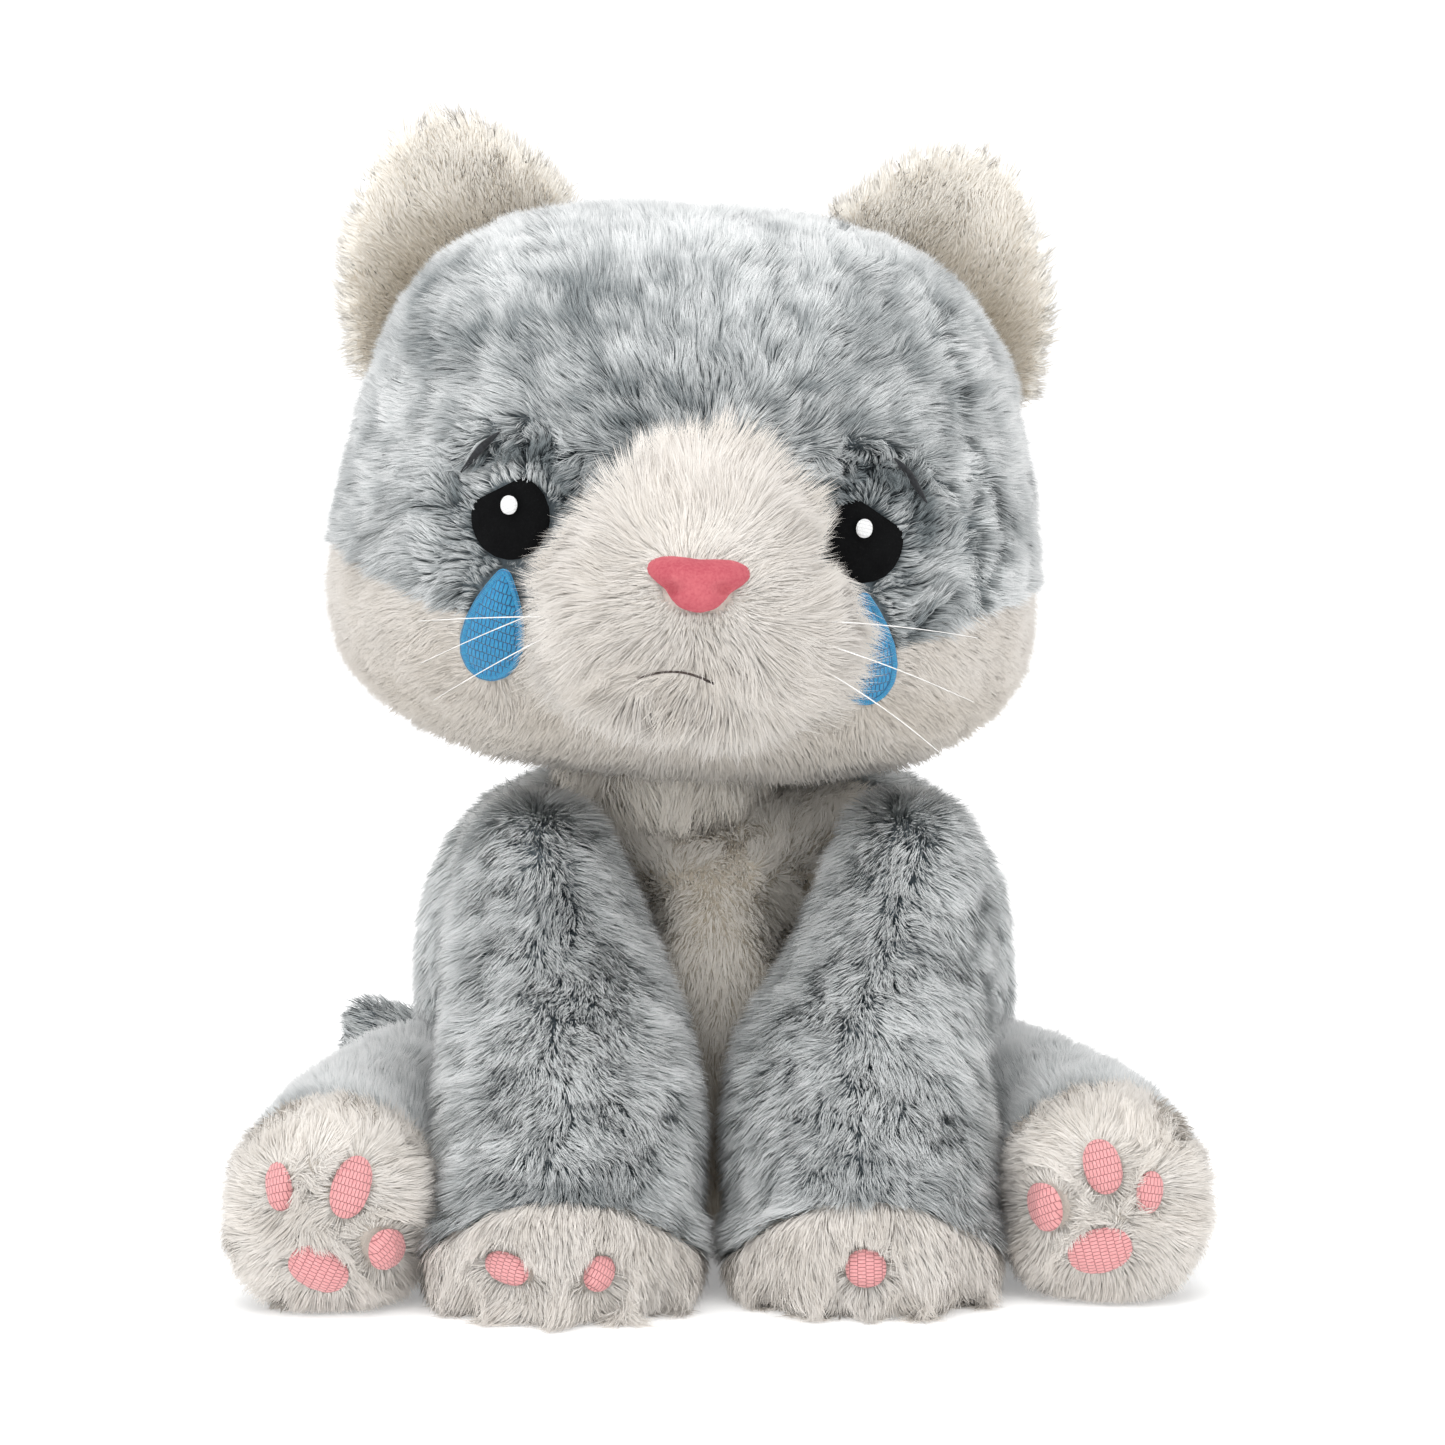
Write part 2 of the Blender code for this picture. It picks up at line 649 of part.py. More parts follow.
def make_ears(colours, pose):
    head_space = cutter("head_under_ears", head_mass(EAR_CLEARANCE, 3), pose)
    for side, hand in ((1, "left"), (-1, "right")):
        apart = (EAR_LAYER + SEW_GAP) / 2
        lining = new_object("ear_lining_" + hand, mesh_of(ear_layer(side, -apart)), colours["cream_pile"])
        back = new_object("ear_back_" + hand, mesh_of(ear_layer(side, apart)), colours["grey_pile"])
        pivot = HEAD_CENTRE + EAR_SHIFT + mirrored(EAR_ROOT, side)
        for piece in (lining, back):
            piece.parent = pose
            set_on_joint(piece, pivot)
            cut(piece, "DIFFERENCE", head_space)


def make_limb(name, masses, seam, colours, pivot, pads):
    """A limb's grey cover, its white end, its stuffing and the pink pads sewn to the white end.

    masses gives the limb's solid at a growth, fine or coarse, and seam the two halves of space at
    its colour seam.
    """
    leg_side, foot_side = seam
    part, kind, hand = name
    outer = masses(0.0, False)
    foot_tree = tree_of(outer)
    inside = cutter(f"{part}_inside_{hand}", masses(-FABRIC, True))

    cover = new_object(f"{part}_cover_{hand}", mesh_of(outer), colours["grey_pile"])
    cut(cover, "DIFFERENCE", inside)
    cut(cover, "INTERSECT", leg_side)

    foot = new_object(f"{kind}_cover_{hand}", mesh_of(masses(0.0, False)), colours["white_pile"])
    cut(foot, "DIFFERENCE", inside)
    cut(foot, "INTERSECT", foot_side)

    fill = new_object(f"{part}_stuffing_{hand}", mesh_of(masses(-FABRIC - FILL_GAP, True)), colours["fibre"])
    for piece in (cover, foot, fill):
        set_on_joint(piece, pivot)
    for pad_name, outline in pads:
        pad = new_object(pad_name, mesh_of(patch(foot_tree, outline, 0.0018, 2)), colours["pink_thread"])
        set_on_joint(pad, pivot)


def make_front_legs(colours):
    far = 0.3
    slope = Matrix.Rotation(-PAW_SEAM_SLOPE, 3, "X")
    halves = []
    for name, bottom, top in (("above_paw_seam", 0.0, far), ("below_paw_seam", -far, -SEW_GAP)):
        half = block((-far, -far, bottom), (far, far, top))
        bmesh.ops.rotate(half, verts=half.verts[:], cent=(0, 0, 0), matrix=slope)
        bmesh.ops.translate(half, verts=half.verts[:], vec=PAW_SEAM)
        halves.append(cutter(name, half))
    places = {
        "right": (((-0.0500, 0.0138), (0.0058, 0.0038), -0.20), ((-0.0275, 0.0128), (0.0038, 0.0044), -0.30)),
        "left": (((0.0370, 0.0128), (0.0052, 0.0048), 0.0),),
    }
    for side, hand in ((1, "left"), (-1, "right")):
        pads = [
            (f"front_toe_pad_{hand}_{number}", oval(middle, half, tilt, 12))
            for number, (middle, half, tilt) in enumerate(places[hand], start=1)
        ]
        name = ("front_leg", "front_paw", hand)
        pivot = mirrored(SHOULDER, side)
        make_limb(name, partial(front_leg_mass, side), halves, colours, pivot, pads)


def make_hind_legs(colours):
    far = 0.3
    places = {
        "right": (
            ("toe_pad_right_1", (-0.0880, 0.0325), (0.0048, 0.0080), -0.30),
            ("toe_pad_right_2", (-0.0795, 0.0170), (0.0044, 0.0056), 0.0),
            ("toe_pad_right_3", (-0.1055, 0.0325), (0.0034, 0.0060), 0.15),
            ("sole_pad_right", (-0.0960, 0.0125), (0.0080, 0.0056), -0.45),
        ),
        "left": (
            ("toe_pad_left_1", (0.0955, 0.0352), (0.0048, 0.0070), 0.25),
            ("toe_pad_left_2", (0.0815, 0.0250), (0.0042, 0.0062), 0.15),
            ("toe_pad_left_3", (0.1070, 0.0290), (0.0034, 0.0056), -0.15),
            ("sole_pad_left", (0.0950, 0.0145), (0.0085, 0.0058), 0.25),
        ),
    }
    for side, hand in ((1, "left"), (-1, "right")):
        pads = [(pad_name, oval(middle, half, tilt, 12)) for pad_name, middle, half, tilt in places[hand]]
        name = ("hind_leg", "hind_foot", hand)
        seam = SOLE_DEPTH - SOLE_REACH[side]
        behind = cutter("behind_sole_seam_" + hand, block((-far, seam, -far), (far, far, far)))
        ahead = cutter("ahead_of_sole_seam_" + hand, block((-far, -far, -far), (far, seam - SEW_GAP, far)))
        pivot = mirrored(HIP, side)
        make_limb(name, partial(hind_leg_mass, side), (behind, ahead), colours, pivot, pads)


def make_tail(colours):
    """The tail lies behind the body with its tip up on the kitten's right."""
    inside = cutter("tail_inside", tail_mass(-FABRIC, True))
    mouth = cutter("tail_mouth", block((TAIL_ROOT.x + 0.004, 0.0, -0.1), (0.1, 0.2, 0.2)))
    cover = new_object("tail_cover", mesh_of(tail_mass(0.0)), colours["grey_pile"])
    cut(cover, "DIFFERENCE", inside, mouth)
    fill = new_object("tail_stuffing", mesh_of(tail_mass(-FABRIC - FILL_GAP, True)), colours["fibre"])
    for piece in (cover, fill):
        set_on_joint(piece, TAIL_ROOT)


def centre_on_origin():
    """The origin is on the floor, under the middle of the toy."""
    for thing in bpy.data.objects:
        if thing.parent is None:
            thing.location += CENTRE_SHIFT


def main():
    for thing in list(bpy.data.objects):
        bpy.data.objects.remove(thing)
    colours = {
        "grey_pile": finish("grey_pile", "A9B3B8", 0.95),
        "white_pile": finish("white_pile", "EFE9E4", 0.95),
        "cream_pile": finish("cream_pile", "D9D0C4", 0.95),
        "fibre": finish("polyester_fibre", "F4F4F2", 0.9),
        "calico": finish("calico", "E3DCCB", 0.9),
        "black_felt": finish("black_felt", "141516", 0.85),
        "black_thread": finish("black_thread", "26282A", 0.6),
        "white_thread": finish("white_thread", "F2F2F0", 0.5),
        "blue_thread": finish("blue_thread", "2E9BD6", 0.4),
        "pink_felt": finish("pink_felt", "D07A84", 0.85),
        "pink_thread": finish("pink_thread", "E09AA0", 0.5),
        "nylon": finish("nylon", "F6F6F4", 0.25),
    }
    pose = bpy.data.objects.new("head_pose", None)
    bpy.context.scene.collection.objects.link(pose)
    pose.location = NECK
    pose.rotation_euler = (0.0, HEAD_TILT, HEAD_TURN)

    clearances = make_clearances()
    make_torso(colours, clearances)
    make_neck(colours)
    make_head(colours, pose)
    make_muzzle(colours, pose)
    make_face(colours, pose)
    make_ears(colours, pose)
    make_front_legs(colours)
    make_hind_legs(colours)
    make_tail(colours)
    centre_on_origin()


main()
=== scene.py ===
"""A sitting plush kitten: pile covers sewn over stuffed shapes, embroidered tears and pads, felt eyes.

Metres, +Z up. The kitten faces -Y, so its own left side is at +X. Each stuffed part gets a skin, which is
the knitted backing of its plush, and its pile is sewn on that skin as separate fibres.
"""

import math

import bmesh
import bpy
import numpy as np
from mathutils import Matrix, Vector
from mathutils.bvhtree import BVHTree


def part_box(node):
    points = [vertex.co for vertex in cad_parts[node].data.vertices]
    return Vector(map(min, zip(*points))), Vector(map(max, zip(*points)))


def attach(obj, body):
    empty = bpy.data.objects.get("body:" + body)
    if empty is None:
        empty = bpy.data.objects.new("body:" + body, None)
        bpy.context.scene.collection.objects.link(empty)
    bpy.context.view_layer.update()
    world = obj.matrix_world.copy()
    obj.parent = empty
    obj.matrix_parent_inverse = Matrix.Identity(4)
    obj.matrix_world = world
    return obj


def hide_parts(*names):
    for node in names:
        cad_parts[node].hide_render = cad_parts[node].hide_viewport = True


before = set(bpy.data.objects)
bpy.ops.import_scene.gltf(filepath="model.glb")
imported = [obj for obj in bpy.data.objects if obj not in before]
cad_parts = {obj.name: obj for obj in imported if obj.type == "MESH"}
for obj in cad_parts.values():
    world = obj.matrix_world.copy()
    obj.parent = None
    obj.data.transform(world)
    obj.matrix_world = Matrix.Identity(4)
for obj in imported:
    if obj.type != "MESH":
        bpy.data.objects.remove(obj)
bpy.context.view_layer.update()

MM = 0.001
HANDS = (("left", 1), ("right", -1))

# The camera stands three quarters as high as the toy and looks a little down on it
CAMERA_AT = (0.0006, -1.0773, 0.233)
CAMERA_DOWN = math.radians(5.08)
CAMERA_LENS = 102.1  # on a 36 mm wide sensor

# Pile
# Single fibres are too fine to show, so each is drawn as coarse as a few that cling together
FINE_WIDTH = 0.21 * MM  # in front
COARSE_WIDTH = 0.42 * MM  # behind, where the pile is sewn thinner
FLOOR_CLEAR = 0.3 * MM  # the lowest that a fibre reaches
PRESSED_PILE = 1.5 * MM  # how far the pile under a foot holds its backing off the floor
TOE_SPACING = 13 * MM  # between the tufts that make the toes of a front paw
PIECE_FACES = 195_000  # the most faces in one piece of pile


# Colours and materials


def linear(hex_colour):
    """An sRGB hex colour as linear red, green, blue and alpha."""
    levels = [int(hex_colour[i : i + 2], 16) / 255 for i in (0, 2, 4)]
    return (*[v / 12.92 if v <= 0.04045 else ((v + 0.055) / 1.055) ** 2.4 for v in levels], 1.0)


def add(tree, kind, links=(), **settings):
    """One node, its settings by name, and what is linked to each of its sockets."""
    node = tree.nodes.new(kind)
    for name, value in settings.items():
        if name == "stops":
            ramp = node.color_ramp.elements
            while len(ramp) < len(value):
                ramp.new(0.5)
            for stop, (place, hex_colour) in zip(ramp, value):
                stop.position = place
                stop.color = linear(hex_colour)
        elif hasattr(node, name):
            setattr(node, name, value)
        else:
            node.inputs[name.replace("_", " ")].default_value = value
    for socket, source in links:
        tree.links.new(source, node.inputs[socket])
    return node


def new_material(name, **finish):
    """A material, its node tree and its shader, with the finish set on the shader's own sockets."""
    material = bpy.data.materials.new(name)
    material.use_nodes = True
    shader = material.node_tree.nodes["Principled BSDF"]
    for socket, value in finish.items():
        shader.inputs[socket.replace("_", " ")].default_value = value
    return material, material.node_tree, shader


def pile(name, dark, light, sheen):
    """Polyester pile, brushed and sheared: each fibre is deep in colour at its root and frosted at its tip,
    and whole tufts are darker or paler, but the white ramps run the other way, painted lighter at the root as
    painted light against the shade between fibres. Across a fibre's map runs its tuft, and up it its height."""
    material, tree, shader = new_material(name, Roughness=0.72, Sheen_Weight=sheen, Sheen_Roughness=0.45)
    shader.inputs["Specular IOR Level"].default_value = 0.28
    lay = add(tree, "ShaderNodeUVMap", uv_map="OFBake")
    parts = add(tree, "ShaderNodeSeparateXYZ", [("Vector", lay.outputs["UV"])])
    deep = add(tree, "ShaderNodeValToRGB", [("Fac", parts.outputs["Y"])], stops=dark)
    pale = add(tree, "ShaderNodeValToRGB", [("Fac", parts.outputs["Y"])], stops=light)
    links = [(0, parts.outputs["X"]), (6, deep.outputs["Color"]), (7, pale.outputs["Color"])]
    tuft = add(tree, "ShaderNodeMix", links, data_type="RGBA")
    tree.links.new(tuft.outputs[2], shader.inputs["Base Color"])
    return material


def backing(name, low, high):
    """Knitted backing with the dense roots of its pile: dull, mottled and matted at about 1.5 mm."""
    material, tree, shader = new_material(name, Roughness=0.95, Sheen_Weight=0.1)
    place = add(tree, "ShaderNodeTexCoord")
    mottle = add(tree, "ShaderNodeTexNoise", [("Vector", place.outputs["Object"])], Scale=110.0, Detail=5.0)
    stops = ((0.35, low), (0.68, high))
    tone = add(tree, "ShaderNodeValToRGB", [("Fac", mottle.outputs["Fac"])], stops=stops)
    matted = add(tree, "ShaderNodeTexNoise", [("Vector", place.outputs["Object"])], Scale=650.0, Detail=2.0)
    bump = add(tree, "ShaderNodeBump", [("Height", matted.outputs["Fac"])], Strength=0.5, Distance=0.0006)
    tree.links.new(tone.outputs["Color"], shader.inputs["Base Color"])
    tree.links.new(bump.outputs["Normal"], shader.inputs["Normal"])
    return material


def thread(name, shade, body, shine, pitch, roughness=0.38):
    """Rayon embroidery thread, filled in short staggered stitches: it glints along each row, and dips between
    stitches, where the colour given as shade is painted shade. Its single threads are too fine to show, so
    each stitch is drawn as one coarse block. The map runs in millimetres over the patch."""
    material, tree, shader = new_material(name, Sheen_Weight=0.25)
    lay = add(tree, "ShaderNodeUVMap", uv_map="lay")
    weave = add(
        tree,
        "ShaderNodeTexBrick",
        [("Vector", lay.outputs["UV"])],
        Scale=1.0,
        Mortar_Size=0.13 * pitch,
        Mortar_Smooth=1.0,
        Brick_Width=pitch,
        Row_Height=2.2 * pitch,
        offset=0.5,
    )
    grain = add(tree, "ShaderNodeTexNoise", [("Vector", lay.outputs["UV"])], Scale=1.3, Detail=3.0)
    stops = ((0.3, body), (0.72, shine))
    tone = add(tree, "ShaderNodeValToRGB", [("Fac", grain.outputs["Fac"])], stops=stops)
    links = [(0, weave.outputs["Fac"]), (6, tone.outputs["Color"])]
    sunk = add(tree, "ShaderNodeMix", links, data_type="RGBA")
    sunk.inputs[7].default_value = linear(shade)
    flip = add(tree, "ShaderNodeMath", [(1, weave.outputs["Fac"])], operation="SUBTRACT")
    flip.inputs[0].default_value = 1.0
    bump = add(tree, "ShaderNodeBump", [("Height", flip.outputs[0])], Strength=0.8, Distance=0.0003)
    gloss = add(tree, "ShaderNodeMapRange", [("Value", grain.outputs["Fac"])])
    gloss.inputs["To Min"].default_value = roughness
    gloss.inputs["To Max"].default_value = roughness + 0.2
    tree.links.new(sunk.outputs[2], shader.inputs["Base Color"])
    tree.links.new(gloss.outputs["Result"], shader.inputs["Roughness"])
    tree.links.new(bump.outputs["Normal"], shader.inputs["Normal"])
    return material


def felt(name, low, high, nap, glance=0.4):
    """Pressed felt or flock: a short nap, matt, with a fine fuzz that catches light at the edges."""
    material, tree, shader = new_material(name, Roughness=0.9, Sheen_Weight=nap, Sheen_Roughness=0.4)
    shader.inputs["Specular IOR Level"].default_value = glance
    place = add(tree, "ShaderNodeTexCoord")
    at = [("Vector", place.outputs["Object"])]
    nap_grain = add(tree, "ShaderNodeTexNoise", at, Scale=1400.0, Detail=3.0)
    cloud = add(tree, "ShaderNodeTexNoise", at, Scale=160.0, Detail=2.0)
    links = [(0, nap_grain.outputs["Fac"]), (1, cloud.outputs["Fac"])]
    both = add(tree, "ShaderNodeMath", links, operation="ADD")
    half = add(tree, "ShaderNodeMath", [(0, both.outputs[0])], operation="MULTIPLY")
    half.inputs[1].default_value = 0.5
    tone = add(tree, "ShaderNodeValToRGB", [("Fac", half.outputs[0])], stops=((0.35, low), (0.65, high)))
    bump = add(tree, "ShaderNodeBump", [("Height", nap_grain.outputs["Fac"])], Strength=0.45, Distance=0.0003)
    tree.links.new(tone.outputs["Color"], shader.inputs["Base Color"])
    tree.links.new(bump.outputs["Normal"], shader.inputs["Normal"])
    return material


def bristle(name):
    """Clear nylon monofilament: smooth, glossy and nearly white."""
    material, tree, shader = new_material(name, Roughness=0.22, IOR=1.53, Coat_Weight=0.4)
    place = add(tree, "ShaderNodeTexCoord")
    streak = add(tree, "ShaderNodeTexNoise", [("Vector", place.outputs["Object"])], Scale=400.0)
    stops = ((0.3, "DEDCD8"), (0.7, "FAFAF8"))
    tone = add(tree, "ShaderNodeValToRGB", [("Fac", streak.outputs["Fac"])], stops=stops)
    tree.links.new(tone.outputs["Color"], shader.inputs["Base Color"])
    return material


# Smooth random drift, the same on every run

LATTICE = np.random.default_rng(11).random((40, 40, 40, 3)) * 2 - 1


def drift(points, size, layer=0):
    """A smooth random vector at each point, which changes over this distance."""
    at = points / size + 13.7 * layer + 900
    cell = np.floor(at).astype(np.int64)
    part = at - cell
    part = part * part * (3 - 2 * part)
    total = np.zeros((len(points), 3))
    for dx in (0, 1):
        for dy in (0, 1):
            for dz in (0, 1):
                step = np.array((dx, dy, dz))
                weight = np.prod(np.where(step, part, 1 - part), axis=1)
                i, j, k = ((cell + step) % 40).T
                total += weight[:, None] * LATTICE[i, j, k]
    return total


def unit(vectors):
    return vectors / np.maximum(np.linalg.norm(vectors, axis=-1, keepdims=True), 1e-9)


def smooth_step(low, high, value):
    t = np.clip((value - low) / (high - low), 0, 1)
    return t * t * (3 - 2 * t)


# Stuffed skins


def points_of(node):
    """A CAD node's vertices in the row frame."""
    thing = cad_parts[node]
    flat = np.empty(len(thing.data.vertices) * 3)
    thing.data.vertices.foreach_get("co", flat)
    world = np.array(thing.matrix_world)
    return flat.reshape(-1, 3) @ world[:3, :3].T + world[:3, 3]


def middle_of(*nodes):
    low = np.min([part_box(node)[0] for node in nodes], axis=0)
    high = np.max([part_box(node)[1] for node in nodes], axis=0)
    return (low + high) / 2


def mesh_of_nodes(nodes):
    bm = bmesh.new()
    for node in nodes:
        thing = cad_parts[node]
        bm.from_mesh(thing.data)
    bmesh.ops.remove_doubles(bm, verts=bm.verts[:], dist=0.01 * MM)
    return bm


def evaluated(thing):
    """The object's mesh with its modifiers applied, as a new mesh."""
    graph = bpy.context.evaluated_depsgraph_get()
    return bpy.data.meshes.new_from_object(thing.evaluated_get(graph))


def largest_island(bm):
    """Drops every loose piece but the one with the largest box, such as a wall on the inside."""
    unseen = set(bm.verts)
    islands = []
    while unseen:
        queue = [unseen.pop()]
        island = []
        while queue:
            vert = queue.pop()
            island.append(vert)
            for edge in vert.link_edges:
                other = edge.other_vert(vert)
                if other in unseen:
                    unseen.remove(other)
                    queue.append(other)
        xs = [vert.co.x for vert in island]
        zs = [vert.co.z for vert in island]
        islands.append(((max(xs) - min(xs)) * (max(zs) - min(zs)), island))
    keep = set(max(islands, key=lambda item: item[0])[1])
    bmesh.ops.delete(bm, geom=[vert for vert in bm.verts if vert not in keep], context="VERTS")


def stuffed_skin(name, body, nodes, voxel=3.5 * MM, rounds=6, sunk=0.6 * MM):
    """The outside of these sewn and stuffed nodes as one soft skin, a little inside them."""
    bm = mesh_of_nodes(nodes)
    mesh = bpy.data.meshes.new(name)
    bm.to_mesh(mesh)
    bm.free()
    skin = bpy.data.objects.new(name, mesh)
    bpy.context.scene.collection.objects.link(skin)
    fuse = skin.modifiers.new("fuse", "REMESH")
    fuse.mode = "VOXEL"
    fuse.voxel_size = voxel
    ease = skin.modifiers.new("ease", "SMOOTH")
    ease.factor = 0.5
    ease.iterations = rounds
    mesh = evaluated(skin)
    skin.modifiers.clear()
    bm = bmesh.new()
    bm.from_mesh(mesh)
    largest_island(bm)
    bm.normal_update()
    for vert in bm.verts:
        vert.co -= vert.normal * sunk
    bm.to_mesh(mesh)
    bm.free()
    mesh.shade_smooth()
    skin.data = mesh
    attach(skin, body)
    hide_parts(*nodes)
    return skin


def surface_of(skin):
    """Points, normals and triangles of a skin, as arrays."""
    mesh = skin.data
    mesh.calc_loop_triangles()
    points = np.empty(len(mesh.vertices) * 3)
    mesh.vertices.foreach_get("co", points)
    normals = np.empty(len(mesh.vertices) * 3)
    mesh.vertices.foreach_get("normal", normals)
    corners = np.empty(len(mesh.loop_triangles) * 3, np.int32)
    mesh.loop_triangles.foreach_get("vertices", corners)
    return points.reshape(-1, 3), normals.reshape(-1, 3), corners.reshape(-1, 3)


def nearness(points, node):
    """How far each point is from a CAD node's surface."""
    bm = mesh_of_nodes([node])
    tree = BVHTree.FromBMesh(bm)
    bm.free()
    return np.array([tree.find_nearest(Vector(point))[3] for point in points])


def nearest_cover(points, nodes):
    """For each node, how much nearer each point is to it than to any of the others."""
    distances = [nearness(points, node) for node in nodes]
    nearer = {}
    for i, node in enumerate(nodes):
        others = distances[:i] + distances[i + 1 :]
        nearer[node] = np.min(others, axis=0) - distances[i]
    return nearer


def colour_skin(skin, regions, materials):
    """Gives each face of a skin the backing of the cover it lies in."""
    margins = np.array([regions[node] for node in materials])
    mesh = skin.data
    for material in materials.values():
        mesh.materials.append(material)
    best = np.argmax(margins, axis=0)
    for face in mesh.polygons:
        face.material_index = int(best[face.vertices[0]])


# What the pile must not cover


class Clear:
    """The oval space in front of an eye, a drop or a pad, where fibres part."""

    def __init__(self, node, outward_from, size=1.0):
        points = points_of(node)
        centre = points.mean(axis=0)
        spread = np.linalg.eigh(np.cov((points - centre).T))[1]
        self.out = spread[:, 0] * np.sign(np.dot(spread[:, 0], centre - outward_from))
        self.across = spread[:, 1]
        self.along = spread[:, 2]
        flat = (points - centre) @ np.stack([self.across, self.along]).T
        self.half = (flat.max(axis=0) - flat.min(axis=0)) / 2 * size
        shift = (flat.max(axis=0) + flat.min(axis=0)) / 2
        self.centre = centre + shift[0] * self.across + shift[1] * self.along

    def reach(self, points):
        """1 on the oval's edge, less inside it, and large where a point isn't in front of it."""
        away = points - self.centre
        flat = np.hypot(away @ self.across / self.half[0], away @ self.along / self.half[1])
        return np.where(np.abs(away @ self.out) < 14 * MM, flat, 9.0)

    def outward(self, points):
        away = points - self.centre
        u = (away @ self.across / self.half[0] ** 2)[:, None] * self.across
        v = (away @ self.along / self.half[1] ** 2)[:, None] * self.along
        return unit(u + v)


# Pile


def scatter(skin, regions, seed, front=7.0, back=2.5):
    """Roots over a skin, fuller and finer in front than behind: their places, their normals, their
    fibres' widths and the skin's values at them. front and back are roots per square millimetre."""
    rng = np.random.default_rng(seed)
    points, normals, corners = surface_of(skin)
    a, b, c = (points[corners[:, i]] for i in range(3))
    area = np.linalg.norm(np.cross(b - a, c - a), axis=1) / 2
    wanted = area * front * 1e6
    count = np.floor(wanted + rng.random(len(wanted))).astype(int)
    which = np.repeat(np.arange(len(corners)), count)
    u, v = rng.random((2, len(which)))
    over = u + v > 1
    u[over] = 1 - u[over]
    v[over] = 1 - v[over]
    share = np.stack([1 - u - v, u, v], axis=1)[:, :, None]
    at = (points[corners[which]] * share).sum(axis=1)
    up = unit((normals[corners[which]] * share).sum(axis=1))
    fine = smooth_step(0.5, -0.1, up[:, 1]) * smooth_step(-0.95, -0.6, up[:, 2])
    keep = rng.random(len(at)) < back / front + (1 - back / front) * fine
    width = (COARSE_WIDTH + (FINE_WIDTH - COARSE_WIDTH) * fine)[keep]
    read = {key: (value[corners[which]] * share[:, :, 0]).sum(axis=1)[keep] for key, value in regions.items()}
    return at[keep], up[keep], width, read


def gather(points, size, seed):
    """Which tuft each root belongs to: uneven cells of about this size."""
    warped = points + drift(points, size * 1.7, seed) * size * 0.75
    cells = np.floor(warped / size).astype(np.int64)
    key = cells[:, 0] * 73856093 ^ cells[:, 1] * 19349663 ^ cells[:, 2] * 83492791
    return np.unique(key, return_inverse=True)[1].reshape(-1)


def mean_of(values, group):
    count = np.bincount(group)
    return np.stack([np.bincount(group, values[:, i]) / count for i in range(values.shape[1])], axis=1)


